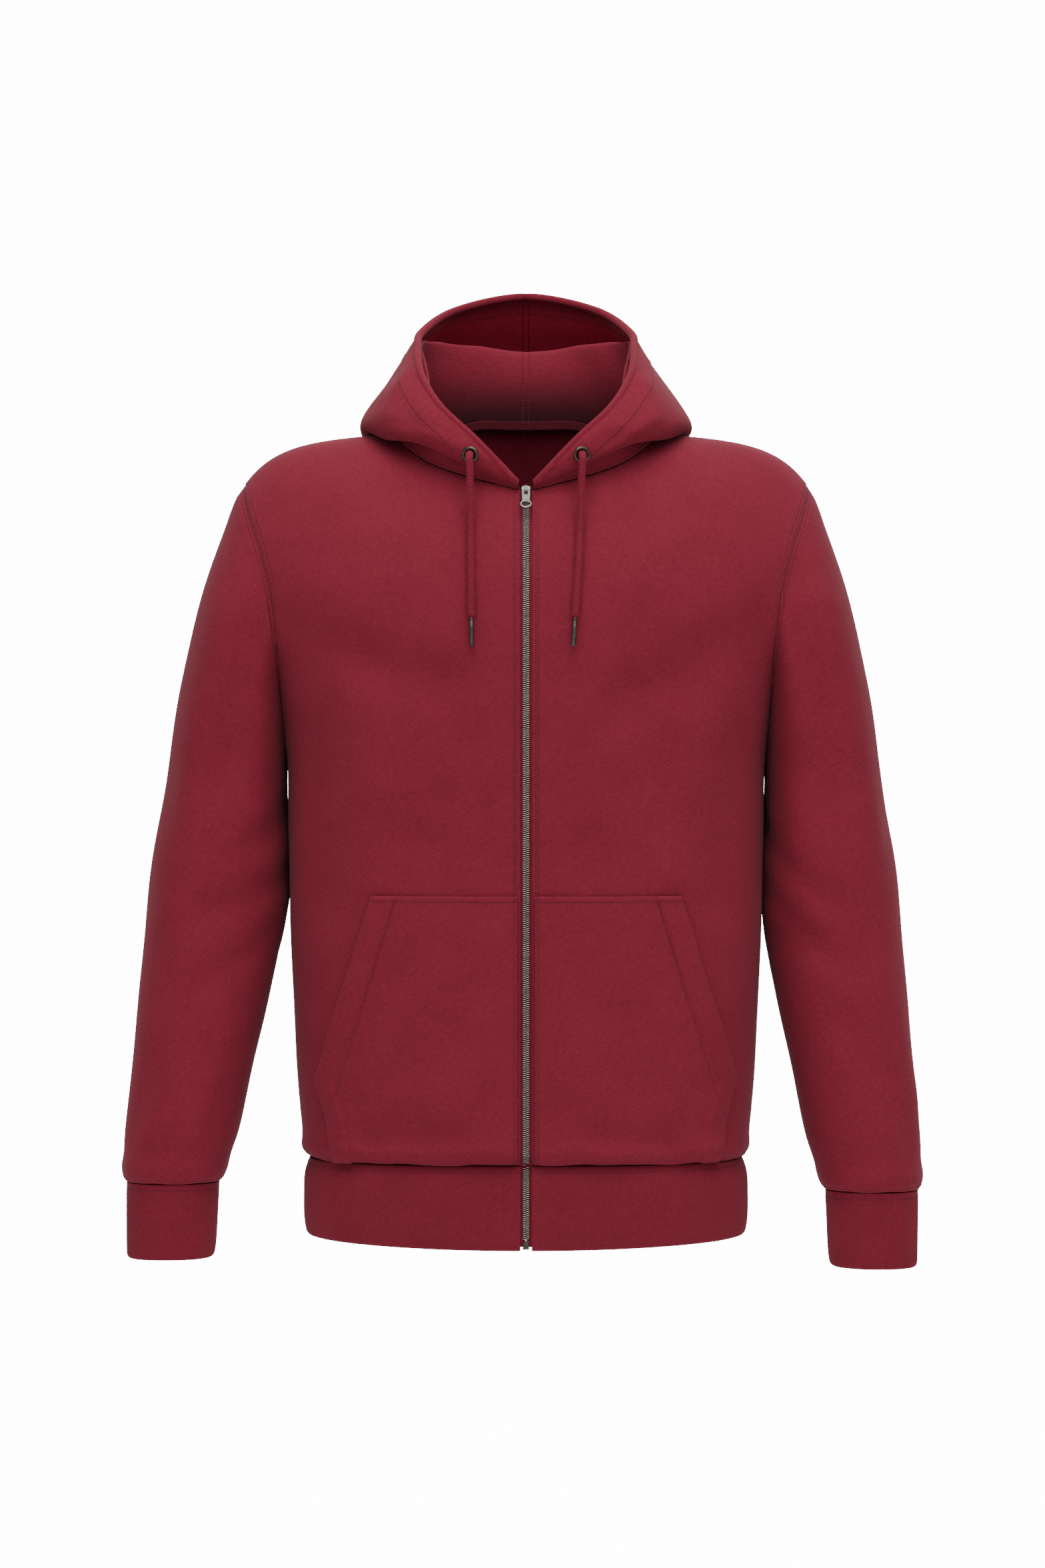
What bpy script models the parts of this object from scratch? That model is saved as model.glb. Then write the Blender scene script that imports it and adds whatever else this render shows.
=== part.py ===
"""A zip up hoodie, filled out as if worn, hollow, with its hood down.

Metres, +Z up, the front faces -Y, +X is the wearer's left. The origin is midway
between the two shoulder points of the neck, where the wearer's shoulders carry
the garment. Every cloth piece is a wall on a smooth form: the body is a stack of
superellipse rings that closes over the shoulders like a dome, and a point on it
is named by how far round it lies (0 centre front, 1 side seam, 2 centre back)
and by its level, the height that its ring has at the centre front.
"""

import math

import bmesh
import bpy
import numpy as np
from mathutils import Matrix, Vector

for old in list(bpy.data.objects):
    bpy.data.objects.remove(old)

# Cloth and seams
FLEECE = 0.002
RIB = 0.003
SEAM_GAP = 0.0003

# Levels of the body
HEM_LEVEL = -0.6145
BAND_BOTTOM = -0.684
UNDERARM_LEVEL = -0.260
DOME_LEVEL = -0.200
TOP_LEVEL = 0.006
FRONT_NECK_LEVEL = -0.051

# The body's rings: depth is measured from the side seam plane
SQUARENESS = 2.8
TYPICAL_HALF_WIDTH = 0.21
TYPICAL_DEPTH = 0.13
BODY_RINGS = {
    "level": (-0.6145, -0.6090, -0.5950, -0.5600, -0.5000, -0.4260,
              -0.3400, -0.2600, -0.2000, -0.1540, -0.0910, 0.0060),
    "half_width": (0.1845, 0.1885, 0.1905, 0.1935, 0.1970, 0.2000,
                   0.2035, 0.2055, 0.2210, 0.2430, 0.2620, 0.2680),
    "front": (0.1265, 0.1310, 0.1325, 0.1335, 0.1340, 0.1345,
              0.1355, 0.1360, 0.1350, 0.1350, 0.1350, 0.1350),
    "back": (0.1165, 0.1205, 0.1220, 0.1225, 0.1220, 0.1210,
             0.1210, 0.1225, 0.1250, 0.1250, 0.1250, 0.1250),
}
BAND_RINGS = {
    "level": (-0.684, -0.675, -0.650, -0.624, -0.6148),
    "half_width": (0.1868, 0.1885, 0.1895, 0.1876, 0.1845),
    "front": (0.1285, 0.1300, 0.1305, 0.1295, 0.1265),
    "back": (0.1185, 0.1200, 0.1205, 0.1195, 0.1165),
}

# Shoulder line: a gentle slope, then a round corner at the sleeve head
SHOULDER_HALF = 0.241
SHOULDER_SLOPE = 0.0174
SHOULDER_CORNER = 0.030
CORNER_POWER = 10
NAPE_RISE = 0.072
NAPE_HALF = 0.076
NAPE_FLATNESS = 4
NAPE_POWER = 6

# Edges of the panels, by how far round and level
ARMPIT_ROW = 0.60
NECK_COLUMN = 0.45
PANEL_ROWS = (0.0, 0.010, 0.030, 0.070, 0.125, 0.185, 0.245, 0.305, 0.365, 0.425, 0.485, 0.545,
              0.60, 0.645, 0.69, 0.735, 0.78, 0.825, 0.87, 0.915, 0.96, 1.0)
FRONT_EDGE = 0.0047
SLOPE_STEP = 0.001
ARMHOLE = {
    "x": (0.2055, 0.2068, 0.2085, 0.2115, 0.2220, 0.2325, 0.2390, 0.2410),
    "level": (-0.260, -0.243, -0.205, -0.150, -0.095, -0.050, -0.015, 0.006),
}
NECK_FRONT = {
    "x": (0.0047, 0.035, 0.062, 0.083, 0.100, 0.1095, 0.112),
    "level": (-0.051, -0.0435, -0.0347, -0.0248, -0.0109, 0.0005, 0.006),
}
NECK_BACK = {
    "x": (0.0, 0.030, 0.060, 0.085, 0.102, 0.1100, 0.112),
    "level": (-0.0193, -0.0185, -0.0150, -0.0080, 0.0000, 0.0048, 0.006),
}

# Sleeves: outer (top) and inner (underarm) point of each ring, and its half depth
SLEEVE_RINGS = {
    "outer_x": (0.2475, 0.2550, 0.2645, 0.2750, 0.2855, 0.2945, 0.3020, 0.3090, 0.3150,
                0.3205, 0.3255, 0.3300, 0.3345, 0.3385, 0.3410, 0.3420, 0.3415, 0.3385),
    "outer_z": (-0.052, -0.069, -0.098, -0.134, -0.175, -0.217, -0.262, -0.308, -0.352,
                -0.397, -0.443, -0.490, -0.538, -0.584, -0.610, -0.625, -0.633, -0.6382),
    "inner_x": (0.2076, 0.2082, 0.2086, 0.2086, 0.2084, 0.2080, 0.2074, 0.2066, 0.2060,
                0.2075, 0.2140, 0.2215, 0.2310, 0.2410, 0.2478, 0.2518, 0.2540, 0.2578),
    "inner_z": (-0.2602, -0.266, -0.274, -0.286, -0.302, -0.324, -0.350, -0.378, -0.406,
                -0.434, -0.468, -0.505, -0.546, -0.588, -0.612, -0.626, -0.633, -0.6382),
    "half_depth": (0.0910, 0.0920, 0.0915, 0.0895, 0.0870, 0.0845, 0.0815, 0.0783, 0.0752,
                   0.0720, 0.0690, 0.0655, 0.0610, 0.0560, 0.0525, 0.0510, 0.0495, 0.0455),
    "middle_y": (0.000, 0.000, 0.000, 0.000, 0.000, 0.000, -0.002, -0.004, -0.007,
                 -0.010, -0.014, -0.018, -0.022, -0.026, -0.028, -0.029, -0.029, -0.029),
}
CUFF_RINGS = {
    "outer_x": (0.3385, 0.3383, 0.3380, 0.3372),
    "inner_x": (0.2578, 0.2588, 0.2605, 0.2630),
    "z": (-0.6385, -0.6550, -0.6900, -0.7035),
    "half_depth": (0.0455, 0.0450, 0.0430, 0.0410),
    "middle_y": (-0.029, -0.0295, -0.0305, -0.031),
}
SLEEVE_SQUARENESS = 2.3
SLEEVE_GAP = 0.0006
EVEN_FROM_RING = 6
WRIST_LEVEL = -0.638
WRIST_LEAN = 0.003
WRIST_DROP = 0.0035
HANG_LIMIT = 1.1

# Hood: control points of its cut at stations round the neck, 0 centre back, 1 centre front
HOOD_STATIONS = (0.0, 0.17, 0.34, 0.50, 0.62, 0.74, 0.87, 1.0)
HOOD_PATH = (0.0, 0.14, 0.34, 0.50, 0.69, 0.84, 1.0)
HOOD_CREST = (
    (0.0, 0.078, 0.0790), (0.045, 0.070, 0.0845), (0.0750, 0.044, 0.0825),
    (0.0855, 0.006, 0.0740), (0.0835, -0.034, 0.0430), (0.0805, -0.074, -0.0060),
    (0.0500, -0.0880, -0.0265), (0.0063, -0.0943, -0.0492),
)
HOOD_DOWN = (
    (0.0, 0.108, -0.020), (0.055, 0.100, -0.015), (0.0980, 0.058, 0.018),
    (0.1080, 0.010, 0.030), (0.0990, -0.042, 0.014), (0.0840, -0.0790, -0.0095),
    (0.0522, -0.0920, -0.0280), (0.0063, -0.0947, -0.0482),
)
HOOD_LOW = (
    (0.0, 0.150, -0.088), (0.068, 0.138, -0.080), (0.1180, 0.078, -0.016),
    (0.1280, 0.006, 0.0045), (0.1150, -0.050, -0.005), (0.0890, -0.0845, -0.0120),
    (0.0545, -0.0955, -0.0265), (0.0063, -0.0951, -0.0474),
)
HOOD_ROLL = (
    (0.0, 0.190, 0.000), (0.086, 0.166, 0.000), (0.1330, 0.085, 0.010),
    (0.1400, 0.004, 0.0140), (0.1265, -0.050, 0.010), (0.0960, -0.0860, -0.0010),
    (0.0560, -0.0985, -0.0205), (0.0064, -0.0955, -0.0464),
)
HOOD_WALL = (
    (0.0, 0.168, 0.075), (0.082, 0.138, 0.072), (0.1080, 0.070, 0.062),
    (0.1160, -0.002, 0.0480), (0.1080, -0.050, 0.035), (0.0850, -0.0860, 0.0120),
    (0.0495, -0.0990, -0.0135), (0.0065, -0.0955, -0.0450),
)
HOOD_BRIM = (
    (0.0, 0.108, 0.1310), (0.058, 0.088, 0.1165), (0.0895, 0.030, 0.0910),
    (0.0905, -0.010, 0.0770), (0.0855, -0.054, 0.0490), (0.0695, -0.0820, 0.0205),
    (0.0400, -0.0945, -0.0085), (0.0066, -0.0950, -0.0435),
)
HOOD_COLUMNS = 20
HOOD_ROWS = 22

# Pocket: its outer edge, slanted at the hand opening
POCKET_INNER_X = 0.0072
OUTLINE_FRONT = -0.200
POCKET = {
    "level": (-0.6115, -0.5800, -0.5450, -0.4985, -0.4475, -0.3910),
    "outer_x": (0.1600, 0.1665, 0.1750, 0.1602, 0.1444, 0.1280),
}

# Zip
CHAIN_WIDTH = 0.0056
CHAIN_THICKNESS = 0.0024
CHAIN_RECESS = 0.0006
TAPE_THICKNESS = 0.0006
TAPE_OUTER_X = 0.0125
CHAIN_TOP_LEVEL = -0.0520
TAPE_TOP_LEVEL = -0.0505
TAPE_DEPTH = 0.0024
BEHIND_BAND_LEVEL = -0.6070
ZIP_STEP = 0.002
NECK_TAPE_HEIGHT = 0.008
NECK_TAPE_THICKNESS = 0.0012
NECK_TAPE_STATION = 0.30
NECK_TAPE_COLUMNS = 9
# Slider and pull tab, in the zip's own plane: across, up the zip, out of the cloth
SLIDER_LEVEL = -0.0525
SLIDER_HALF_WIDTH = 0.00395
SLIDER_SPAN = (-0.0048, 0.0048)
PLATE_FRONT = (0.0, 0.0013)
PLATE_BACK = (-0.0047, -0.0035)
BAIL_HALF_WIDTH = 0.0009
BAIL_TOP = 0.0041
BAIL_BAND = 0.0009
BAIL_SPAN = (-0.0034, 0.0036)
POST_SPAN = (0.0018, 0.0042)
POST_DEPTH = (-0.0037, 0.00065)
SLIDER_EDGE = 0.0002
HINGE_UP = -0.0015
HINGE_OUT = 0.0023
TAB_REST_LIFT = math.radians(11)
TAB_HALF_WIDTH = 0.00355
TAB_THICKNESS = 0.0012
TAB_TOP = 0.0007
TAB_CHAMFER = 0.0004
TAB_RING_UP = -0.0168
TAB_RING_RADIUS = 0.0049
TAB_HOLE = (0.0034, 0.0026)
TAB_SLOT = (0.0014, -0.0006, -0.0054)
TAB_RING_SIDES = 20
BOX_HALF_WIDTH = 0.0029
BOX_HEIGHT = 0.006
BOX_DEPTH = (-0.0030, -0.0002)

# Eyelets, drawcord and its tips
EYELET_PLACE = (0.0468, -0.1024, -0.0228)
EYELET_FACING = (0.22, -0.96, -0.12)
EYELET_RADIUS = 0.0055
EYELET_WIRE = 0.0014
EYELET_STEPS = (18, 6)
CORD_RADIUS = 0.0034
CORD_ROUTE = (
    (0.0468, -0.1022, -0.0228), (0.0473, -0.1064, -0.0232), (0.0474, -0.1099, -0.0257),
    (0.0470, -0.1114, -0.0310), (0.0466, -0.1120, -0.0430), (0.0462, -0.1128, -0.0650),
    (0.0460, -0.1166, -0.0850), (0.0458, -0.1238, -0.1050), (0.0455, -0.1310, -0.1300),
    (0.0452, -0.1364, -0.1600),
)
CORD_LEAN = (0.0, -0.0045)
CORD_POINTS = 14
AGLET_RADIUS = 0.0019
AGLET_LENGTH = 0.0240
AGLET_SIDES = 12
TIP_GAP = 0.0003


def curve_through(knots, values, at):
    """Smooth curve through the values at the knots, with parabola tangents."""
    knots = np.asarray(knots, float)
    values = np.asarray(values, float)
    at = np.clip(np.asarray(at, float), knots[0], knots[-1])
    step = np.diff(knots)
    shape = (-1,) + (1,) * (values.ndim - 1)
    slope = np.diff(values, axis=0) / step.reshape(shape)
    before = step[:-1].reshape(shape)
    after = step[1:].reshape(shape)
    middle = (slope[:-1] * after + slope[1:] * before) / (before + after)
    first = 1.5 * slope[:1] - 0.5 * middle[:1]
    last = 1.5 * slope[-1:] - 0.5 * middle[-1:]
    tangent = np.concatenate([first, middle, last])
    index = np.clip(np.searchsorted(knots, at, side="right") - 1, 0, len(step) - 1)
    share = (at - knots[index]) / step[index]
    share = share.reshape(at.shape + (1,) * (values.ndim - 1))
    length = step[index].reshape(share.shape)
    start_weight = (1 + 2 * share) * (1 - share) ** 2
    end_weight = share ** 2 * (3 - 2 * share)
    return (start_weight * values[index] + end_weight * values[index + 1]
            + length * share * (1 - share) ** 2 * tangent[index]
            - length * share ** 2 * (1 - share) * tangent[index + 1])


def ring_shape(steps=400):
    """How far across and how far forward a quarter ring is, by its share of the girth."""
    angle = np.linspace(0.0, math.pi / 2, steps)
    across = np.sin(angle) ** (2 / SQUARENESS)
    forward = np.cos(angle) ** (2 / SQUARENESS)
    run = np.hypot(np.diff(across) * TYPICAL_HALF_WIDTH, np.diff(forward) * TYPICAL_DEPTH)
    share = np.concatenate([[0.0], np.cumsum(run)])
    return share / share[-1], across, forward


SHARE, ACROSS, FORWARD = ring_shape()


def ring_point(rings, how_far, level):
    """Point of a ring at its own height: how_far 0 is centre front, 1 side, 2 centre back."""
    quarter = np.where(how_far <= 1, how_far, 2 - how_far)
    across = np.interp(quarter, SHARE, ACROSS)
    forward = np.interp(quarter, SHARE, FORWARD)
    width = curve_through(rings["level"], rings["half_width"], level)
    front = curve_through(rings["level"], rings["front"], level)
    back = curve_through(rings["level"], rings["back"], level)
    depth = np.where(how_far <= 1, -front, back)
    return np.stack([width * across, depth * forward, level + 0 * across], axis=-1)


def shoulder_height(x):
    """Height of the shoulder line at x."""
    side = np.abs(x) / SHOULDER_HALF
    return TOP_LEVEL - SHOULDER_SLOPE * side ** 2 - SHOULDER_CORNER * side ** CORNER_POWER


def body_point(how_far, level):
    """Point of the body's outer form, on the wearer's left half."""
    how_far, level = np.broadcast_arrays(np.asarray(how_far, float), np.asarray(level, float))
    point = ring_point(BODY_RINGS, how_far, level)
    climb = np.clip((level - DOME_LEVEL) / (TOP_LEVEL - DOME_LEVEL), 0.0, 1.0)
    x = point[..., 0]
    y = point[..., 1] * np.sqrt(1 - climb ** 2)
    nape = NAPE_RISE * np.exp(-(x / NAPE_HALF) ** NAPE_FLATNESS) * climb ** NAPE_POWER
    domed = DOME_LEVEL + climb * (shoulder_height(x) - DOME_LEVEL)
    domed = domed + np.where(how_far > 1, nape, 0.0)
    z = np.where(level > DOME_LEVEL, domed, level)
    return np.stack([x, y, z], axis=-1)


def round_at(x, level):
    """How far round the ring the given x lies, on the front."""
    width = curve_through(BODY_RINGS["level"], BODY_RINGS["half_width"], level)
    return np.interp(x / width, ACROSS, SHARE)


def neck_edge(table, share):
    """How far round and level of the neck seam, from its middle (0) to the shoulder (1)."""
    knots = np.linspace(0.0, 1.0, len(table["x"]))
    x = curve_through(knots, table["x"], share)
    level = curve_through(knots, table["level"], share)
    return round_at(x, level), level


def side_edge(share):
    """How far round and level of a panel's outer edge: side seam, then armhole."""
    below = share / ARMPIT_ROW
    above = np.clip((share - ARMPIT_ROW) / (1 - ARMPIT_ROW), 0.0, 1.0)
    knots = np.linspace(0.0, 1.0, len(ARMHOLE["level"]))
    x = curve_through(knots, ARMHOLE["x"], above)
    armhole_level = curve_through(knots, ARMHOLE["level"], above)
    seam_level = HEM_LEVEL + (UNDERARM_LEVEL - HEM_LEVEL) * below
    how_far = np.where(share <= ARMPIT_ROW, 1.0, round_at(x, armhole_level))
    return how_far, np.where(share <= ARMPIT_ROW, seam_level, armhole_level)


def arc_of(level):
    """Level as an arc: even steps of it are even steps over the shoulder's round."""
    climb = (np.asarray(level) - DOME_LEVEL) / (TOP_LEVEL - DOME_LEVEL)
    return np.where(climb > 0, np.arcsin(np.clip(climb, 0, 1)), climb)


def level_of(arc):
    """Level at an arc."""
    return DOME_LEVEL + (TOP_LEVEL - DOME_LEVEL) * np.where(arc > 0, np.sin(arc), arc)


def blend_patch(left, right, bottom, top, across, up):
    """Coons patch between four edges given at the grid's own rows and columns."""
    corners = ((1 - across) * (1 - up) * bottom[0] + across * (1 - up) * bottom[-1]
               + (1 - across) * up * top[0] + across * up * top[-1])
    sides = (1 - across) * left[:, None] + across * right[:, None]
    ends = (1 - up) * bottom[None, :] + up * top[None, :]
    return sides + ends - corners


def centre_levels(centre_level, rows):
    """Levels of a panel's rows on its centre line."""
    lower = np.clip(rows / ARMPIT_ROW, 0, 1)
    upper = np.clip((rows - ARMPIT_ROW) / (1 - ARMPIT_ROW), 0, 1)
    return HEM_LEVEL + (UNDERARM_LEVEL - HEM_LEVEL) * lower + (centre_level - UNDERARM_LEVEL) * upper


def panel_half(neck_table, centre_level, columns):
    """Quarter of the body from the centre line to the side seam, as how far round and level."""
    across = np.linspace(0.0, 1.0, columns + 1)[None, :]
    up = np.array(PANEL_ROWS)[:, None]
    side_round, side_level = side_edge(up[:, 0])
    centre = centre_levels(centre_level, up[:, 0])
    centre_x = neck_table["x"][0]
    centre_round = round_at(centre_x, centre)
    hem_round = centre_round[0] + (1 - centre_round[0]) * across[0]
    neck_round, neck_level = neck_edge(neck_table, np.clip(across[0] / NECK_COLUMN, 0, 1))
    along = np.clip((across[0] - NECK_COLUMN) / (1 - NECK_COLUMN), 0, 1)
    shoulder_round = neck_round[-1] + (side_round[-1] - neck_round[-1]) * along
    top_round = np.where(across[0] <= NECK_COLUMN, neck_round, shoulder_round)
    top_level = np.where(across[0] <= NECK_COLUMN, neck_level, TOP_LEVEL)
    how_far = blend_patch(centre_round, side_round, hem_round, top_round, across, up)
    arc = blend_patch(arc_of(centre), arc_of(side_level), np.full(columns + 1, arc_of(HEM_LEVEL)),
                      arc_of(top_level), across, up)
    return how_far, level_of(arc)


def grid_faces(rows, columns, closed):
    """Quads of a grid of points, row by row."""
    faces = []
    for row in range(rows - 1):
        for column in range(columns if closed else columns - 1):
            beside = (column + 1) % columns
            faces.append((row * columns + column, row * columns + beside,
                          (row + 1) * columns + beside, (row + 1) * columns + column))
    return faces


def rim_loop(rows, columns):
    """Indices round the edge of an open grid, in the order of its faces."""
    bottom = [column for column in range(columns)]
    right = [row * columns + columns - 1 for row in range(1, rows)]
    top = [(rows - 1) * columns + column for column in range(columns - 2, -1, -1)]
    left = [row * columns for row in range(rows - 2, 0, -1)]
    return bottom + right + top + left


def link(name, vertices, faces, material):
    """Object in the garment's collection from vertices and faces."""
    mesh = bpy.data.meshes.new(name)
    mesh.from_pydata(vertices.reshape(-1, 3).tolist(), [], faces)
    mesh.shade_smooth()
    mesh.materials.append(material)
    piece = bpy.data.objects.new(name, mesh)
    garment.objects.link(piece)
    piece.parent = mount
    return piece


def lattice(name, points, material, wall=0.0, offset=-1.0, closed=False, even=True):
    """Grid of points (rows, columns), made a wall by Solidify."""
    piece = link(name, points, grid_faces(*points.shape[:2], closed), material)
    solid = piece.modifiers.new("wall", "SOLIDIFY")
    solid.thickness = wall
    solid.offset = offset
    solid.use_even_offset = even
    return piece


def panel(name, outer, inner, material):
    """Wall lofted between an outer and an inner grid, closed by its rim."""
    rows, columns = outer.shape[:2]
    count = rows * columns
    faces = grid_faces(rows, columns, False)
    faces += [tuple(count + index for index in reversed(face)) for face in faces]
    loop = rim_loop(rows, columns)
    for first, second in zip(loop, loop[1:] + loop[:1]):
        faces.append((second, first, count + first, count + second))
    return link(name, np.concatenate([outer.reshape(-1, 3), inner.reshape(-1, 3)]), faces, material)


def mirrored(points):
    """The grid on the other side of the body, its columns reversed to keep its faces outward."""
    return (points * np.array([-1.0, 1.0, 1.0]))[:, ::-1]


def side_name(base, sign):
    """Name of a sided piece; +1 is the wearer's left."""
    return base + ("_left" if sign > 0 else "_right")


def both_sides(name, points, material, **options):
    """A piece and its mirror image."""
    lattice(side_name(name, 1), points, material, **options)
    lattice(side_name(name, -1), mirrored(points), material, **options)


def moved_out(how_far, level, distance):
    """The body's points, moved outward by a distance."""
    step = SLOPE_STEP
    arc = np.minimum(arc_of(level), math.pi / 2 - step)
    here = level_of(arc)
    beside = body_point(np.minimum(how_far + step, 2), here)
    beside = beside - body_point(np.maximum(how_far - step, 0), here)
    above = body_point(how_far, level_of(arc + step)) - body_point(how_far, level_of(arc - step))
    normal = np.cross(beside, above)
    normal /= np.linalg.norm(normal, axis=-1, keepdims=True)
    return body_point(how_far, level) + distance * normal


def front_faces(*distances, columns=12):
    """The wearer's left front panel's points, moved outward by each distance."""
    how_far, level = panel_half(NECK_FRONT, FRONT_NECK_LEVEL, columns)
    faces = []
    for distance in distances:
        points = moved_out(how_far, level, distance)
        points[:, 0, 0] = FRONT_EDGE
        points[..., 1] -= SEAM_GAP / 2
        faces.append(points)
    return faces


def back_faces(*distances, columns=10):
    """The back panel's points, side seam to side seam, moved outward by each distance."""
    how_far, level = panel_half(NECK_BACK, NECK_BACK["level"][0], columns)
    faces = []
    for distance in distances:
        half = moved_out(2 - how_far, level, distance)
        half[:, 0, 0] = 0.0
        half[..., 1] += SEAM_GAP / 2
        other = half[:, 1:] * np.array([-1.0, 1.0, 1.0])
        faces.append(np.concatenate([half[:, ::-1], other], axis=1))
    return faces


def armhole_ring():
    """Loop of the armhole on the panels' own rows: shoulder, down the front, up the back."""
    rows = np.array(PANEL_ROWS)
    rows = rows[rows >= ARMPIT_ROW][::-1]
    how_far, level = side_edge(rows)
    front = body_point(how_far, level)
    back = body_point(2 - how_far, level)
    return np.concatenate([front, back[-2:0:-1]])


def ring_turns(loop, evenness):
    """Angles round a ring whose points follow a loop's spacing, made even by a share."""
    run = np.linalg.norm(np.diff(np.concatenate([loop, loop[:1]]), axis=0), axis=1)
    follow = 2 * np.pi * np.concatenate([[0.0], np.cumsum(run)[:-1]]) / run.sum()
    even = 2 * np.pi * np.arange(len(loop)) / len(loop)
    return follow + (even - follow) * evenness


def sleeve_ring(outer, inner, half_depth, middle_y, turn):
    """Superellipse between an outer and an inner point (x, z), as deep as stated."""
    out = np.sign(np.cos(turn)) * np.abs(np.cos(turn)) ** (2 / SLEEVE_SQUARENESS)
    deep = np.sign(np.sin(turn)) * np.abs(np.sin(turn)) ** (2 / SLEEVE_SQUARENESS)
    middle = (np.array(outer) + np.array(inner)) / 2
    half = (np.array(outer) - np.array(inner)) / 2
    across = middle[0] + half[0] * out
    height = middle[1] + half[1] * out
    return np.stack([across, middle_y - half_depth * deep, height], axis=-1)


def hang(points, sign):
    """Lets one arm hang a little lower and closer than the other."""
    share = np.clip(points[..., 2:] / WRIST_LEVEL, 0, HANG_LIMIT)
    return points + sign * share * np.array([-WRIST_LEAN, 0.0, -WRIST_DROP])


def sleeve_points(sign):
    """Outer face of a sleeve, on the wearer's left."""
    loop = armhole_ring()
    rings = [loop + np.array([SLEEVE_GAP, 0.0, 0.0])]
    for row in range(len(SLEEVE_RINGS["outer_x"])):
        ring = {column: values[row] for column, values in SLEEVE_RINGS.items()}
        outer = (ring["outer_x"], ring["outer_z"])
        inner = (ring["inner_x"], ring["inner_z"])
        turns = ring_turns(loop, min(1.0, row / EVEN_FROM_RING))
        rings.append(sleeve_ring(outer, inner, ring["half_depth"], ring["middle_y"], turns))
    points = np.array(rings)
    points[1:] = hang(points[1:], sign)
    return points


def cuff_points(sign):
    """Outer face of a cuff, on the wearer's left."""
    turns = ring_turns(armhole_ring(), 1.0)
    rings = []
    for row in range(len(CUFF_RINGS["z"])):
        ring = {column: values[row] for column, values in CUFF_RINGS.items()}
        outer = (ring["outer_x"], ring["z"])
        inner = (ring["inner_x"], ring["z"])
        rings.append(sleeve_ring(outer, inner, ring["half_depth"], ring["middle_y"], turns))
    return hang(np.array(rings), sign)


def band_points(columns=40):
    """Outer face of the waistband, round the body from front edge to front edge."""
    level = np.array(BAND_RINGS["level"])[:, None]
    first = round_at(FRONT_EDGE, HEM_LEVEL)
    how_far = np.linspace(first, 4 - first, columns + 1)[None, :]
    half = np.minimum(how_far, 4 - how_far)
    half, level = np.broadcast_arrays(half, level)
    points = ring_point(BAND_RINGS, half, level)
    points[..., 0] *= np.where(how_far > 2, -1.0, 1.0)
    points[:, 0, 0] = FRONT_EDGE
    points[:, -1, 0] = -FRONT_EDGE
    return points


def neck_ring(station):
    """Point of the neck seam at a station of the hood."""
    back_round, back_level = neck_edge(NECK_BACK, np.clip(station * 2, 0, 1))
    front_round, front_level = neck_edge(NECK_FRONT, np.clip(2 - station * 2, 0, 1))
    behind = station < 0.5
    how_far = np.where(behind, 2 - back_round, front_round)
    return body_point(how_far, np.where(behind, back_level, front_level))


def hood_points(stations, path):
    """Middle of the hood's cloth: a row for each share of the path, a column for each station."""
    neck = neck_ring(np.array(HOOD_STATIONS)) + np.array([0.0, 0.0, SEAM_GAP + FLEECE / 2])
    neck[-1, 0] = FRONT_EDGE + FLEECE / 2
    controls = np.array([neck, HOOD_CREST, HOOD_DOWN, HOOD_LOW, HOOD_ROLL, HOOD_WALL, HOOD_BRIM])
    along = curve_through(HOOD_STATIONS, controls.transpose(1, 0, 2), stations)
    points = curve_through(HOOD_PATH, along.transpose(1, 0, 2), path)
    points[0] = neck_ring(np.asarray(stations)) + np.array([0.0, 0.0, SEAM_GAP + FLEECE / 2])
    points[..., 0] += SEAM_GAP
    return points


def neck_tape_points():
    """Inner face of the tape over the back neck seam."""
    stations = np.linspace(NECK_TAPE_STATION, 0.0, NECK_TAPE_COLUMNS)
    seam = neck_ring(stations)
    inward = seam * np.array([-1.0, -1.0, 0.0])
    inward /= np.linalg.norm(inward, axis=-1, keepdims=True)
    line = seam + inward * (FLEECE + 4 * SEAM_GAP + NECK_TAPE_THICKNESS)
    line = np.concatenate([line, line[-2::-1] * np.array([-1.0, 1.0, 1.0])])
    rise = np.array([[-NECK_TAPE_HEIGHT / 2], [NECK_TAPE_HEIGHT / 2]])
    return line[None, :, :] + np.stack([0 * rise, 0 * rise, rise], axis=-1)


def build_pocket(sign, cloth):
    """Pocket made from the front panel's points, moved out, and cut to its outline."""
    inner, outer = front_faces(SEAM_GAP * 2, SEAM_GAP * 2 + FLEECE)
    if sign < 0:
        inner, outer = mirrored(inner), mirrored(outer)
    name = side_name("pocket", sign)
    pocket = panel(name, outer, inner, cloth)
    edge = list(zip(POCKET["outer_x"], POCKET["level"]))
    outline = [(POCKET_INNER_X, POCKET["level"][0])] + edge + [(POCKET_INNER_X, POCKET["level"][-1])]
    shape = bmesh.new()
    front = [shape.verts.new((sign * x, OUTLINE_FRONT, z)) for x, z in outline]
    face = shape.faces.new(front if sign > 0 else front[::-1])
    swept = bmesh.ops.extrude_face_region(shape, geom=[face])
    for vertex in swept["geom"]:
        if isinstance(vertex, bmesh.types.BMVert):
            vertex.co.y = 0.0
    bmesh.ops.recalc_face_normals(shape, faces=shape.faces)
    mesh = bpy.data.meshes.new(name + "_outline")
    shape.to_mesh(mesh)
    shape.free()
    cutter = bpy.data.objects.new(mesh.name, mesh)
    cutters.objects.link(cutter)
    cutter.hide_render = True
    cutter.display_type = "WIRE"
    combine(pocket, cutter, "INTERSECT")


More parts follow.
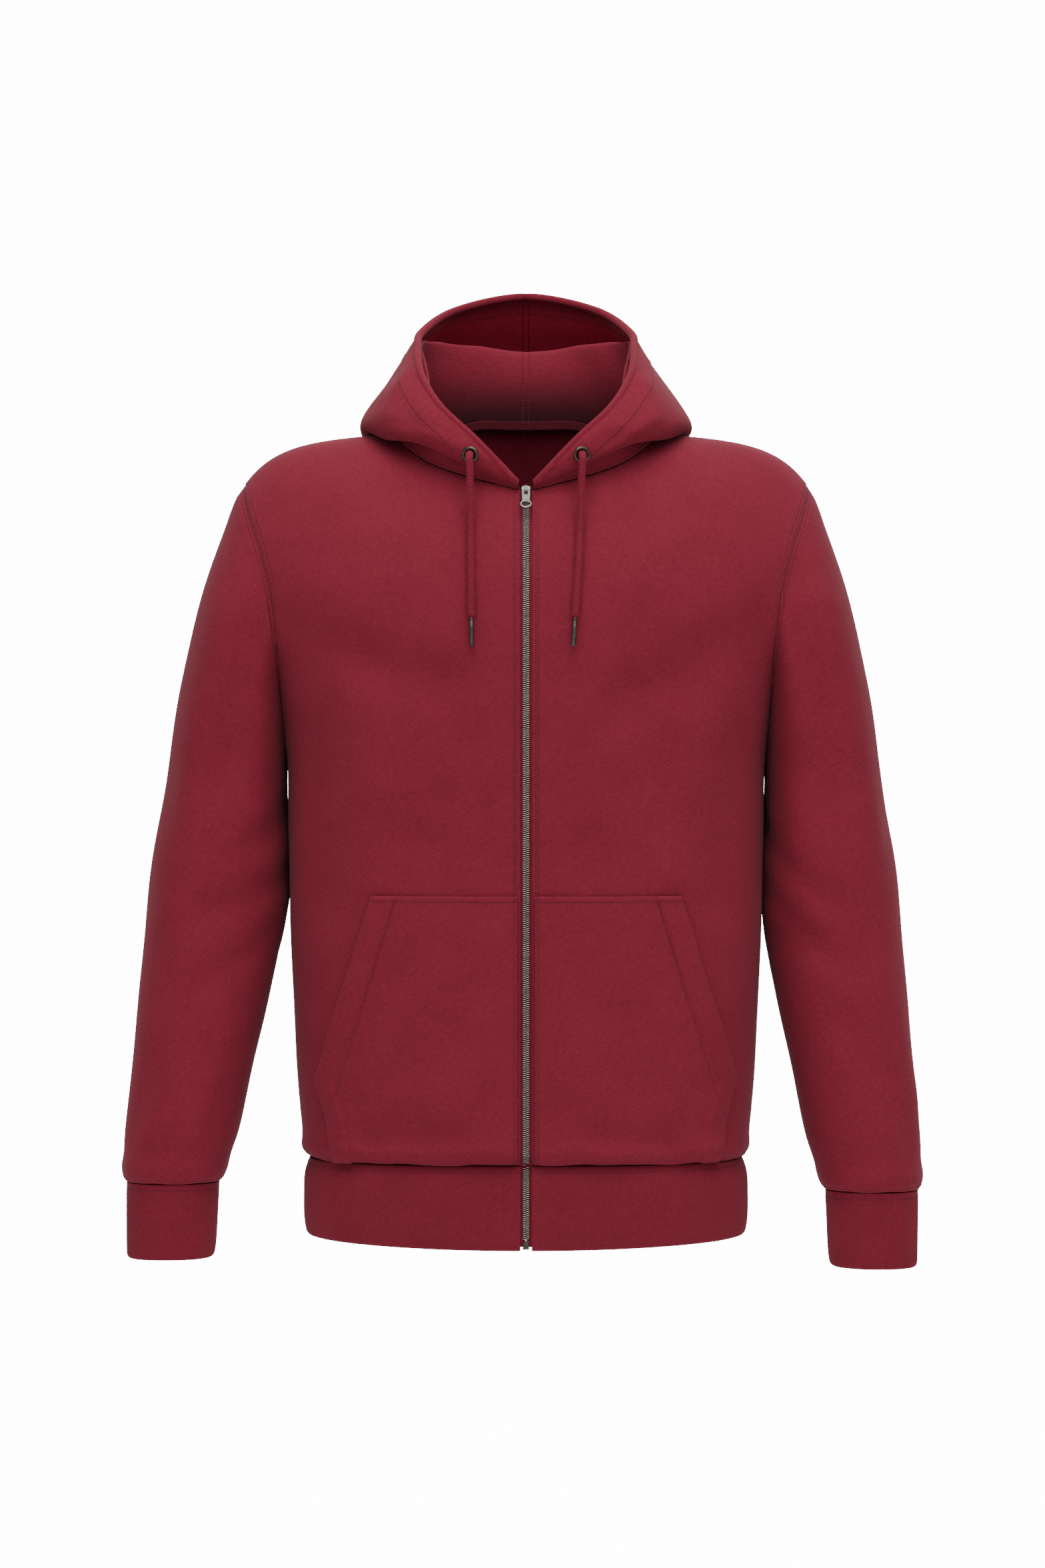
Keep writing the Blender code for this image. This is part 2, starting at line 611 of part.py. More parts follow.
def zip_line(levels, depth):
    """Points of the zip at the centre front, a distance behind the front's outer face."""
    middle = np.zeros_like(levels)
    in_band = levels[:, None] < HEM_LEVEL
    line = np.where(in_band, ring_point(BAND_RINGS, middle, levels), body_point(middle, levels))
    depth = depth + np.where(levels < BEHIND_BAND_LEVEL, RIB - FLEECE, 0.0)[:, None]
    fall = np.gradient(line[:, 1]) / np.gradient(line[:, 2])
    outward = np.stack([np.zeros_like(fall), -np.ones_like(fall), fall], axis=-1)
    outward /= np.linalg.norm(outward, axis=-1, keepdims=True)
    return line - depth * outward


def zip_strip(name, left_x, right_x, top_level, depth, thickness, material):
    """A strip along the zip, from the hem up."""
    rows = centre_levels(FRONT_NECK_LEVEL, np.array(PANEL_ROWS))
    band_rows = np.array(BAND_RINGS["level"])
    inside = (rows > HEM_LEVEL) & (rows < top_level - ZIP_STEP)
    foot = BAND_BOTTOM + BOX_HEIGHT + SEAM_GAP
    levels = np.concatenate([[foot], band_rows[band_rows > foot + ZIP_STEP], rows[inside], [top_level]])
    line = zip_line(levels, depth)
    points = np.stack([line + np.array([left_x, 0, 0]), line + np.array([right_x, 0, 0])], axis=1)
    return lattice(name, points, material, wall=thickness)


def zip_frame(level):
    """Place on the zip line at a level, and the turn about X that lays a piece on the cloth there."""
    levels = np.array([level - SLOPE_STEP, level, level + SLOPE_STEP])
    lower, here, upper = body_point(np.zeros(3), levels)
    lean = math.atan2(upper[1] - lower[1], upper[2] - lower[2])
    return here, -lean


def adopt(piece):
    """Moves a new primitive into the garment's collection."""
    for holder in piece.users_collection:
        holder.objects.unlink(piece)
    garment.objects.link(piece)
    piece.parent = mount


def empty(name, place, turn):
    """Holder for pieces that share a frame; its axes are across, into the cloth and up the zip."""
    holder = bpy.data.objects.new(name, None)
    holder.location = place
    holder.rotation_euler = (turn, 0.0, 0.0)
    holder.parent = mount
    garment.objects.link(holder)
    return holder


def box(name, across, out, up, holder, material=None):
    """Box in a holder's frame from its ranges; without a material it is a cutter."""
    mesh = bpy.data.meshes.new(name)
    shape = bmesh.new()
    bmesh.ops.create_cube(shape, size=1.0)
    for vertex in shape.verts:
        low_high = [(vertex.co[axis] > 0) for axis in range(3)]
        vertex.co = (across[low_high[0]], -out[not low_high[1]], up[low_high[2]])
    shape.to_mesh(mesh)
    shape.free()
    piece = bpy.data.objects.new(name, mesh)
    piece.parent = holder
    if material:
        mesh.materials.append(material)
        garment.objects.link(piece)
    else:
        cutters.objects.link(piece)
        piece.hide_render = True
        piece.display_type = "WIRE"
    return piece


def combine(piece, other, operation):
    """Boolean of a piece with a guide."""
    step = piece.modifiers.new(operation.lower(), "BOOLEAN")
    step.object = other
    step.operation = operation


def build_slider(metal):
    """Two plates joined by a post, with the bail that carries the pull tab."""
    place, turn = zip_frame(SLIDER_LEVEL)
    holder = empty("slider_frame", place, turn)
    wide = (-SLIDER_HALF_WIDTH, SLIDER_HALF_WIDTH)
    thin = (-BAIL_HALF_WIDTH, BAIL_HALF_WIDTH)
    slider = box("zip_slider", wide, PLATE_FRONT, SLIDER_SPAN, holder, metal)
    combine(slider, box("slider_back", wide, PLATE_BACK, SLIDER_SPAN, holder), "UNION")
    combine(slider, box("slider_post", thin, POST_DEPTH, POST_SPAN, holder), "UNION")
    bail = (PLATE_FRONT[1] / 2, BAIL_TOP)
    combine(slider, box("slider_bail", thin, bail, BAIL_SPAN, holder), "UNION")
    inside = (BAIL_SPAN[0] + BAIL_BAND, BAIL_SPAN[1] - BAIL_BAND)
    window = (PLATE_FRONT[1], BAIL_TOP - BAIL_BAND)
    combine(slider, box("slider_window", wide, window, inside, holder), "DIFFERENCE")
    rounded = slider.modifiers.new("edges", "BEVEL")
    rounded.width = SLIDER_EDGE
    rounded.segments = 1
    rounded.limit_method = "ANGLE"
    return place, turn


def closed_spline(curve, points):
    """Closed straight-sided outline through flat points."""
    spline = curve.splines.new("POLY")
    spline.points.add(len(points) - 1)
    for point, (x, y) in zip(spline.points, points):
        point.co = (x, y, 0.0, 1.0)
    spline.use_cyclic_u = True


def tab_outlines():
    """Outline, slot and ring hole of the pull tab, its hinge line at the origin."""
    meet = math.acos(TAB_HALF_WIDTH / TAB_RING_RADIUS)
    turns = np.linspace(meet, -math.pi - meet, TAB_RING_SIDES)
    ring = [(TAB_RING_RADIUS * math.cos(turn), TAB_RING_UP + TAB_RING_RADIUS * math.sin(turn))
            for turn in turns]
    chamfer = TAB_CHAMFER
    outline = [(-TAB_HALF_WIDTH, TAB_TOP - chamfer), (-TAB_HALF_WIDTH + chamfer, TAB_TOP),
               (TAB_HALF_WIDTH - chamfer, TAB_TOP), (TAB_HALF_WIDTH, TAB_TOP - chamfer)] + ring
    half, top, bottom = TAB_SLOT
    slot = [(-half, top), (half, top), (half, bottom), (-half, bottom)]
    turns = np.linspace(0, 2 * math.pi, TAB_RING_SIDES, endpoint=False)
    hole = [(TAB_HOLE[0] * math.cos(turn), TAB_RING_UP + TAB_HOLE[1] * math.sin(turn))
            for turn in turns]
    return outline, slot, hole


def build_pull_tab(place, turn, metal):
    """Flat tab with a slot round the bail and a ring at its end."""
    curve = bpy.data.curves.new("pull_tab", "CURVE")
    curve.dimensions = "2D"
    curve.fill_mode = "BOTH"
    curve.extrude = TAB_THICKNESS / 2
    for outline in tab_outlines():
        closed_spline(curve, outline)
    curve.materials.append(metal)
    tab = bpy.data.objects.new("pull_tab", curve)
    slant = Matrix.Rotation(turn, 3, "X")
    tab.location = Vector(place) + slant @ Vector((0.0, -HINGE_OUT, HINGE_UP))
    tab.rotation_euler = (turn - TAB_REST_LIFT + math.pi / 2, 0.0, 0.0)
    tab.parent = mount
    garment.objects.link(tab)
    return tab


def build_zip(metal, tape_cloth):
    """Tapes behind the front edges, the closed chain between them and the box at its foot."""
    chain_half = CHAIN_WIDTH / 2
    tape_inner = chain_half + SEAM_GAP
    tape = (TAPE_TOP_LEVEL, TAPE_DEPTH, TAPE_THICKNESS, tape_cloth)
    zip_strip("zip_tape_left", tape_inner, TAPE_OUTER_X, *tape)
    zip_strip("zip_tape_right", -TAPE_OUTER_X, -tape_inner, *tape)
    chain = (CHAIN_TOP_LEVEL, CHAIN_RECESS, CHAIN_THICKNESS, metal)
    zip_strip("zip_chain", -chain_half, chain_half, *chain)
    foot = zip_line(np.array([BAND_BOTTOM, BAND_BOTTOM + SLOPE_STEP]), 0.0)[0]
    holder = empty("foot_frame", foot, 0.0)
    wide = (-BOX_HALF_WIDTH, BOX_HALF_WIDTH)
    box("zip_box", wide, BOX_DEPTH, (0.0, BOX_HEIGHT), holder, metal)


def build_eyelet(sign, metal):
    """Ring on the hood's front, round the drawcord."""
    bpy.ops.mesh.primitive_torus_add(major_segments=EYELET_STEPS[0], minor_segments=EYELET_STEPS[1],
                                     major_radius=EYELET_RADIUS, minor_radius=EYELET_WIRE)
    ring = bpy.context.object
    ring.name = side_name("eyelet", sign)
    adopt(ring)
    side = Vector((sign, 1.0, 1.0))
    ring.location = side * Vector(EYELET_PLACE)
    ring.rotation_euler = (side * Vector(EYELET_FACING)).to_track_quat("Z", "Y").to_euler()
    ring.data.materials.append(metal)
    ring.data.shade_smooth()


def build_cord(sign, cloth, metal):
    """One free end of the drawcord, with its metal tip."""
    route = np.array(CORD_ROUTE)
    run = np.concatenate([[0.0], np.cumsum(np.linalg.norm(np.diff(route, axis=0), axis=1))])
    route[:, 0] += CORD_LEAN[sign > 0] * (run / run[-1]) ** 2
    route[:, 0] *= sign
    smooth = curve_through(run, route, np.linspace(0, run[-1], CORD_POINTS))
    curve = bpy.data.curves.new(side_name("drawcord", sign), "CURVE")
    curve.dimensions = "3D"
    curve.bevel_depth = CORD_RADIUS
    curve.bevel_resolution = 2
    curve.use_fill_caps = True
    spline = curve.splines.new("POLY")
    spline.points.add(len(smooth) - 1)
    for point, place in zip(spline.points, smooth):
        point.co = (*place, 1.0)
    curve.materials.append(cloth)
    cord = bpy.data.objects.new(curve.name, curve)
    cord.parent = mount
    garment.objects.link(cord)
    end = Vector(smooth[-1])
    direction = (end - Vector(smooth[-2])).normalized()
    bpy.ops.mesh.primitive_cylinder_add(vertices=AGLET_SIDES, radius=AGLET_RADIUS, depth=AGLET_LENGTH)
    tip = bpy.context.object
    tip.name = side_name("aglet", sign)
    adopt(tip)
    tip.location = end + direction * (AGLET_LENGTH / 2 + TIP_GAP)
    tip.rotation_euler = direction.to_track_quat("Z", "Y").to_euler()
    tip.data.materials.append(metal)


def finish(name, colour, roughness, metallic=0.0):
    """Principled material."""
    material = bpy.data.materials.new(name)
    material.use_nodes = True
    shader = material.node_tree.nodes["Principled BSDF"]
    shader.inputs["Base Color"].default_value = (*colour, 1.0)
    shader.inputs["Roughness"].default_value = roughness
    shader.inputs["Metallic"].default_value = metallic
    return material


def collection(name):
    """New collection in the scene."""
    group = bpy.data.collections.new(name)
    bpy.context.scene.collection.children.link(group)
    return group


garment = collection("zip_up_hoodie")
cutters = collection("cutters")
mount = bpy.data.objects.new("wearer_shoulders", None)
garment.objects.link(mount)

fleece = finish("wine_fleece", (0.258, 0.022, 0.038), 0.95)
rib = finish("wine_rib", (0.235, 0.020, 0.034), 0.95)
tape_cloth = finish("wine_tape", (0.200, 0.018, 0.030), 0.85)
cord_cloth = finish("wine_braid", (0.230, 0.020, 0.034), 0.90)
silver = finish("antique_silver", (0.300, 0.290, 0.250), 0.38, 1.0)
gunmetal = finish("gunmetal", (0.155, 0.135, 0.115), 0.35, 1.0)

front_outer, front_inner = front_faces(0.0, -FLEECE)
panel("front_left", front_outer, front_inner, fleece)
panel("front_right", mirrored(front_outer), mirrored(front_inner), fleece)
panel("back", *back_faces(0.0, -FLEECE), fleece)
for sign in (1, -1):
    sleeve = sleeve_points(sign)
    cuff = cuff_points(sign)
    if sign < 0:
        sleeve = mirrored(sleeve)
        cuff = mirrored(cuff)
    lattice(side_name("sleeve", sign), sleeve, fleece, wall=FLEECE, closed=True)
    lattice(side_name("cuff", sign), cuff, rib, wall=RIB, closed=True)
lattice("waistband", band_points(), rib, wall=RIB)
hood = hood_points(np.linspace(0, 1, HOOD_COLUMNS + 1), np.linspace(0, 1, HOOD_ROWS + 1))
both_sides("hood", hood, fleece, wall=FLEECE, offset=0.0, even=False)
build_pocket(1, fleece)
build_pocket(-1, fleece)
lattice("neck_tape", neck_tape_points(), tape_cloth, wall=NECK_TAPE_THICKNESS)

build_zip(silver, tape_cloth)
slider_place, slider_turn = build_slider(silver)
build_pull_tab(slider_place, slider_turn, silver)
for sign in (1, -1):
    build_eyelet(sign, gunmetal)
    build_cord(sign, cord_cloth, gunmetal)
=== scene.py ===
# %% [markdown]
# # A zip up hoodie, dressed
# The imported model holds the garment's pieces at their real size. Here every cloth piece
# gets a finer copy on the same form, with its soft creases, seams and knit, and every
# metal piece gets its small shapes. All of it is in metres: +Z up, the front faces -Y,
# +X is the wearer's left, and the origin lies between the two shoulder points.

# %% Load the frame
import math

import bmesh
import bpy
import numpy as np
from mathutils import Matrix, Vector


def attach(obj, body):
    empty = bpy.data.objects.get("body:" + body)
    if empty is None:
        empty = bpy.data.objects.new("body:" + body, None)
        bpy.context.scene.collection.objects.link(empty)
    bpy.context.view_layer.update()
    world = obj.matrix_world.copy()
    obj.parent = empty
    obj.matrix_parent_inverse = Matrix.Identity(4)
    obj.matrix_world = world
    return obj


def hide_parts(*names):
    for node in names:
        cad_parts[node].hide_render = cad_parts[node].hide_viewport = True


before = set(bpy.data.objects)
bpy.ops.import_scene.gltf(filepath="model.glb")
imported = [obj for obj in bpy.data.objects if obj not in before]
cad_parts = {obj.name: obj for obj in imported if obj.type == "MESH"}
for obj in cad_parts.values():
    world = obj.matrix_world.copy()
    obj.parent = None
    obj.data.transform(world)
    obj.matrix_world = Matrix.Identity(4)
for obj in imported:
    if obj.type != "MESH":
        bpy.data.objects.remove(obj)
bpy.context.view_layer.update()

garment_body = "garment"
tab_body = "pull_tab"

# %% [markdown]
# ## Camera, floor and light
# A hoodie on a studio form is taken from the front with a long lens, level with its
# middle. The room is bright and white. A wide soft lamp high in front lights the
# shoulders, a smaller one above the neck reaches into the hood, and a third lights the
# back; the insides of the sleeves fall into shade.

# %% Camera
CAMERA_PLACE = (-0.0029, -3.900, -0.2977)
SENSOR = 36.0
LENS = 104.46

camera_data = bpy.data.cameras.new("camera")
camera_data.sensor_fit = "VERTICAL"
camera_data.sensor_height = SENSOR
camera_data.lens = LENS
camera_data.clip_end = 100.0
camera = bpy.data.objects.new("camera", camera_data)
camera.location = CAMERA_PLACE
camera.rotation_euler = (math.radians(90), 0.0, 0.0)
bpy.context.scene.collection.objects.link(camera)
bpy.context.scene.camera = camera
print("camera at", CAMERA_PLACE, "lens", LENS)

# %% Drawcord routes, as the solids have them
CORD_RADIUS = 0.0034
CORD_ROUTE = (
    (0.0468, -0.1022, -0.0228), (0.0473, -0.1064, -0.0232), (0.0474, -0.1099, -0.0257),
    (0.0470, -0.1114, -0.0310), (0.0466, -0.1120, -0.0430), (0.0462, -0.1128, -0.0650),
    (0.0460, -0.1166, -0.0850), (0.0458, -0.1238, -0.1050), (0.0455, -0.1310, -0.1300),
    (0.0452, -0.1364, -0.1600),
)
CORD_LEAN = {1: -0.0045, -1: 0.0}
SIDES = {1: "left", -1: "right"}

# %% [markdown]
# The floor is a wide pale sheet well below the garment, and the room is white all
# round. Both are much larger than anything the camera sees, so no edge of them shows.

# %% Floor, room and lamps
FLOOR_LEVEL = -1.15
FLOOR_SIZE = 14.0
FLOOR_GREY = 0.93
FLOOR_ROUGHNESS = 0.9
ROOM_BRIGHTNESS = 0.36
SEEN_BRIGHTNESS = 14.0
LAMPS = (
    ("key", (0.2, -2.0, 3.2), (0.0, 0.0, -0.15), 3.6, 118.0),
    ("top", (0.0, -0.3, 2.5), (0.0, 0.0, -0.2), 1.4, 20.0),
    ("back", (0.3, 3.0, 1.9), (0.0, 0.0, -0.2), 2.4, 55.0),
)


def seen_or_lit(tree, seen, lit):
    """Strength that the camera sees, and the one that lights the garment."""
    path = tree.nodes.new("ShaderNodeLightPath")
    blend = tree.nodes.new("ShaderNodeMath")
    blend.operation = "MULTIPLY_ADD"
    tree.links.new(path.outputs["Is Camera Ray"], blend.inputs[0])
    blend.inputs[1].default_value = seen - lit
    blend.inputs[2].default_value = lit
    return blend.outputs["Value"]


def pale_floor():
    """Flat square at the floor's height."""
    half = FLOOR_SIZE / 2
    corners = [(-half, -half, FLOOR_LEVEL), (half, -half, FLOOR_LEVEL),
               (half, half, FLOOR_LEVEL), (-half, half, FLOOR_LEVEL)]
    mesh = bpy.data.meshes.new("floor")
    mesh.from_pydata(corners, [], [(0, 1, 2, 3)])
    floor = bpy.data.objects.new("floor", mesh)
    bpy.context.scene.collection.objects.link(floor)
    material = bpy.data.materials.new("pale_floor")
    material.use_nodes = True
    shader = material.node_tree.nodes["Principled BSDF"]
    shader.inputs["Base Color"].default_value = (FLOOR_GREY, FLOOR_GREY, FLOOR_GREY, 1.0)
    shader.inputs["Roughness"].default_value = FLOOR_ROUGHNESS
    shader.inputs["Emission Color"].default_value = (1.0, 1.0, 1.0, 1.0)
    strength = seen_or_lit(material.node_tree, SEEN_BRIGHTNESS, 0.0)
    material.node_tree.links.new(strength, shader.inputs["Emission Strength"])
    mesh.materials.append(material)


def soft_lamp(name, place, target, size, power):
    """Square area lamp at a place, turned to a target."""
    data = bpy.data.lights.new(name, "AREA")
    data.size = size
    data.energy = power
    lamp = bpy.data.objects.new(name, data)
    lamp.location = place
    lamp.rotation_euler = (Vector(target) - Vector(place)).to_track_quat("-Z", "Y").to_euler()
    bpy.context.scene.collection.objects.link(lamp)


pale_floor()
room = bpy.data.worlds.new("white_room")
room.use_nodes = True
room.node_tree.nodes["Background"].inputs["Color"].default_value = (1.0, 1.0, 1.0, 1.0)
strength = seen_or_lit(room.node_tree, SEEN_BRIGHTNESS, ROOM_BRIGHTNESS)
room.node_tree.links.new(strength, room.node_tree.nodes["Background"].inputs["Strength"])
bpy.context.scene.world = room
for lamp in LAMPS:
    soft_lamp(*lamp)
print("room", ROOM_BRIGHTNESS)

# %% [markdown]
# ## Finishes
# The body is brushed-back fleece: its face is a fine jersey whose loops run in slanted
# rows, so the light breaks on short diagonal strokes. One node group makes that grain
# and each cloth takes it with its own strength. A second group presses two rows of
# sewing into the cloth beside an edge: a sewn piece carries the distance to each of its
# edges as an attribute, so the rows follow the seam exactly.

# %% Helpers for shader nodes
def new_group(name, inputs, outputs):
    """Shader node group with named float or vector sockets; returns its tree and end nodes."""
    tree = bpy.data.node_groups.new(name, "ShaderNodeTree")
    for label, kind, value in inputs:
        socket = tree.interface.new_socket(label, in_out="INPUT", socket_type="NodeSocket" + kind)
        if value is not None:
            socket.default_value = value
    for label, kind in outputs:
        tree.interface.new_socket(label, in_out="OUTPUT", socket_type="NodeSocket" + kind)
    return tree, tree.nodes.new("NodeGroupInput"), tree.nodes.new("NodeGroupOutput")


def maths(tree, operation, first, second=None):
    """Math node of two links or numbers; returns its output."""
    step = tree.nodes.new("ShaderNodeMath")
    step.operation = operation
    for socket, value in zip(step.inputs, (first, second)):
        if value is None:
            continue
        if isinstance(value, (int, float)):
            socket.default_value = value
        else:
            tree.links.new(value, socket)
    return step.outputs["Value"]


def noise(tree, vector, size, detail=2.0, turn=0.0):
    """Noise whose lumps have a size along each axis, in metres, in a frame turned about the third."""
    mapping = tree.nodes.new("ShaderNodeMapping")
    mapping.vector_type = "TEXTURE"
    mapping.inputs["Rotation"].default_value = (0.0, 0.0, turn)
    mapping.inputs["Scale"].default_value = size
    tree.links.new(vector, mapping.inputs["Vector"])
    texture = tree.nodes.new("ShaderNodeTexNoise")
    texture.inputs["Scale"].default_value = 1.0
    texture.inputs["Detail"].default_value = detail
    tree.links.new(mapping.outputs["Vector"], texture.inputs["Vector"])
    return texture.outputs["Fac"]


def two_tones(tree, value, dark, light, ends):
    """Colour from dark to light by a value; ends are the values at which each is pure."""
    step = tree.nodes.new("ShaderNodeValToRGB")
    for element, place, colour in zip(step.color_ramp.elements, ends, (dark, light)):
        element.position = place
        element.color = (*colour, 1.0)
    tree.links.new(value, step.inputs["Fac"])
    return step.outputs["Color"]


# %% Grain of the fleece
GRAIN_TURN = math.radians(38)
STROKE_SIZE = (0.0046, 0.0016, 0.0022)
PEBBLE_SIZE = (0.0011, 0.0011, 0.0011)
BLOTCH_SIZE = (0.036, 0.036, 0.036)
STROKE_SHADE = 0.7
BLOTCH_SHADE = 0.3
EULER = 2.718


def grain_group():
    """Height and shade of the knit face: slanted strokes, pebbles and slow blotches."""
    tree, start, end = new_group(
        "fleece_grain",
        [("Cut", "Vector", None), ("Stroke", "Float", 1.0), ("Pebble", "Float", 0.5)],
        [("Height", "Float"), ("Shade", "Float")],
    )
    cut = start.outputs["Cut"]
    strokes = noise(tree, cut, STROKE_SIZE, 2.0, GRAIN_TURN)
    pebbles = noise(tree, cut, PEBBLE_SIZE)
    blotch = noise(tree, cut, BLOTCH_SIZE)
    height = maths(tree, "ADD", maths(tree, "MULTIPLY", strokes, start.outputs["Stroke"]),
                   maths(tree, "MULTIPLY", pebbles, start.outputs["Pebble"]))
    tree.links.new(height, end.inputs["Height"])
    mixed = maths(tree, "ADD", maths(tree, "MULTIPLY", strokes, STROKE_SHADE),
                  maths(tree, "MULTIPLY", blotch, BLOTCH_SHADE))
    tree.links.new(mixed, end.inputs["Shade"])
    return tree


def sewing_group():
    """Two pressed rows beside an edge, from the distance to it: 1 on the cloth, less in a row."""
    tree, start, end = new_group(
        "sewn_rows",
        [("Distance", "Float", 1.0), ("First", "Float", 0.003), ("Second", "Float", 0.008),
         ("Width", "Float", 0.0007)],
        [("Height", "Float")],
    )
    total = None
    for row in ("First", "Second"):
        beyond = maths(tree, "SUBTRACT", start.outputs["Distance"], start.outputs[row])
        near = maths(tree, "DIVIDE", maths(tree, "ABSOLUTE", beyond), start.outputs["Width"])
        squared = maths(tree, "MULTIPLY", near, near)
        dip = maths(tree, "POWER", EULER, maths(tree, "MULTIPLY", squared, -1.0))
        total = dip if total is None else maths(tree, "ADD", total, dip)
    tree.links.new(maths(tree, "SUBTRACT", 1.0, total), end.inputs["Height"])
    return tree


grain = grain_group()
sewing = sewing_group()
print("node groups:", grain.name, sewing.name)

# %% [markdown]
# Each finish is one Principled shader. The cloths share their nodes: the grain shades
# the base colour by a few hundredths and lifts the normal, and the sewn rows press it.
# A little sheen stands for the fuzz that catches the light at the outline. A cloth can
# also name an attribute that scales its colour with painted shade and painted light, as
# the hood's lining does.

# %% Cloth finishes
CLOTH_ROUGHNESS = 0.92
CLOTH_SPECULAR = 0.25
SHEEN = 0.10
SHEEN_ROUGHNESS = 0.45
SHEEN_TINT = (0.95, 0.55, 0.60, 1.0)
SEWN_DEPTH = 0.0006
CLOTH_TONES = (0.30, 0.70)
PLAIN_TONES = (0.35, 0.65)


def shader_of(name, roughness, metallic=0.0):
    """New material with its Principled shader and tree."""
    material = bpy.data.materials.new(name)
    material.use_nodes = True
    shader = material.node_tree.nodes["Principled BSDF"]
    shader.inputs["Roughness"].default_value = roughness
    shader.inputs["Metallic"].default_value = metallic
    return material, shader, material.node_tree


def use_group(tree, group, **values):
    """Places a node group; each value is a number or a link."""
    node = tree.nodes.new("ShaderNodeGroup")
    node.node_tree = group
    for name, value in values.items():
        if isinstance(value, (int, float)):
            node.inputs[name].default_value = value
        else:
            tree.links.new(value, node.inputs[name])
    return node.outputs


def bump(tree, height, depth, normal=None):
    """Bump of a depth in metres, on top of another normal."""
    node = tree.nodes.new("ShaderNodeBump")
    node.inputs["Strength"].default_value = 1.0
    node.inputs["Distance"].default_value = depth
    tree.links.new(height, node.inputs["Height"])
    if normal is not None:
        tree.links.new(normal, node.inputs["Normal"])
    return node.outputs["Normal"]


def cloth_place(tree):
    """Place in the garment as (across, up, deep), so that the grain slants alike on every piece."""
    parts = tree.nodes.new("ShaderNodeSeparateXYZ")
    tree.links.new(tree.nodes.new("ShaderNodeTexCoord").outputs["Object"], parts.inputs["Vector"])
    turned = tree.nodes.new("ShaderNodeCombineXYZ")
    for here, there in (("X", "X"), ("Z", "Y"), ("Y", "Z")):
        tree.links.new(parts.outputs[here], turned.inputs[there])
    return turned.outputs["Vector"]


def attribute_of(tree, label):
    """A value stored on the piece's points: the distance to an edge in metres, or a painted shade."""
    node = tree.nodes.new("ShaderNodeAttribute")
    node.attribute_name = label
    return node.outputs["Fac"]


def cloth_finish(name, dark, light, stroke, pebble, depth, rows=(), painted_shading=None):
    """Knitted cloth, its grain's strengths and depth, and the rows sewn into it.

    A row is (edge attribute, first row, second row); the last argument names an attribute of painted shade
    and painted light that scales the colour.
    """
    material, shader, tree = shader_of(name, CLOTH_ROUGHNESS)
    shader.inputs["Specular IOR Level"].default_value = CLOTH_SPECULAR
    shader.inputs["Sheen Weight"].default_value = SHEEN
    shader.inputs["Sheen Roughness"].default_value = SHEEN_ROUGHNESS
    shader.inputs["Sheen Tint"].default_value = SHEEN_TINT
    made = use_group(tree, grain, Cut=cloth_place(tree), Stroke=stroke, Pebble=pebble)
    colour = two_tones(tree, made["Shade"], dark, light, CLOTH_TONES)
    # Painted shade and painted light: the colour is scaled by the named attribute.
    if painted_shading:
        scaled = tree.nodes.new("ShaderNodeVectorMath")
        scaled.operation = "SCALE"
        tree.links.new(colour, scaled.inputs[0])
        tree.links.new(attribute_of(tree, painted_shading), scaled.inputs["Scale"])
        colour = scaled.outputs["Vector"]
    tree.links.new(colour, shader.inputs["Base Color"])
    normal = None
    for edge, first, second in rows:
        pressed = use_group(tree, sewing, Distance=attribute_of(tree, edge), First=first, Second=second)
        normal = bump(tree, pressed["Height"], SEWN_DEPTH, normal)
    normal = bump(tree, made["Height"], depth, normal)
    tree.links.new(normal, shader.inputs["Normal"])
    return material


WINE_DARK = (0.215, 0.0135, 0.0310)
WINE_LIGHT = (0.280, 0.0200, 0.0440)
FLEECE_LOOK = (WINE_DARK, WINE_LIGHT, 1.0, 0.45, 0.00030)
print("wine", WINE_DARK, WINE_LIGHT)

# %% [markdown]
# ## The garment's form
# The cloth follows the same form as the solids. A curve through a few named sizes gives
# each ring of the body, and the panels are patches between their four seams. The solids
# take a few rows of it; here the same functions are asked for many more.

# %% Small sums over arrays
INWARD = np.array([-1.0, -1.0, 0.0])
OTHER_SIDE = np.array([-1.0, 1.0, 1.0])
RIGHTWARD = np.array([-1.0, 0.0, 0.0])
UP = np.array([0.0, 0.0, 1.0])


def unit(vectors):
    """Vectors brought to length 1."""
    return vectors / np.linalg.norm(vectors, axis=-1, keepdims=True)


def bell(distance, width):
    """Bell curve: 1 at distance 0, and 1 / e at the width."""
    return np.exp(-(distance / width) ** 2)


def signed_power(value, power):
    """Power of a value's size, with the value's sign."""
    return np.sign(value) * np.abs(value) ** power


def round_angles(count, first=0.0):
    """Angles of a full turn in even steps; first is the share of a step they start at."""
    return 2 * np.pi * (np.arange(count) + first) / count


def picked(at, run, line):
    """Points on a line at the given runs along it."""
    return np.stack([np.interp(at, run, line[:, axis]) for axis in range(3)], axis=-1)


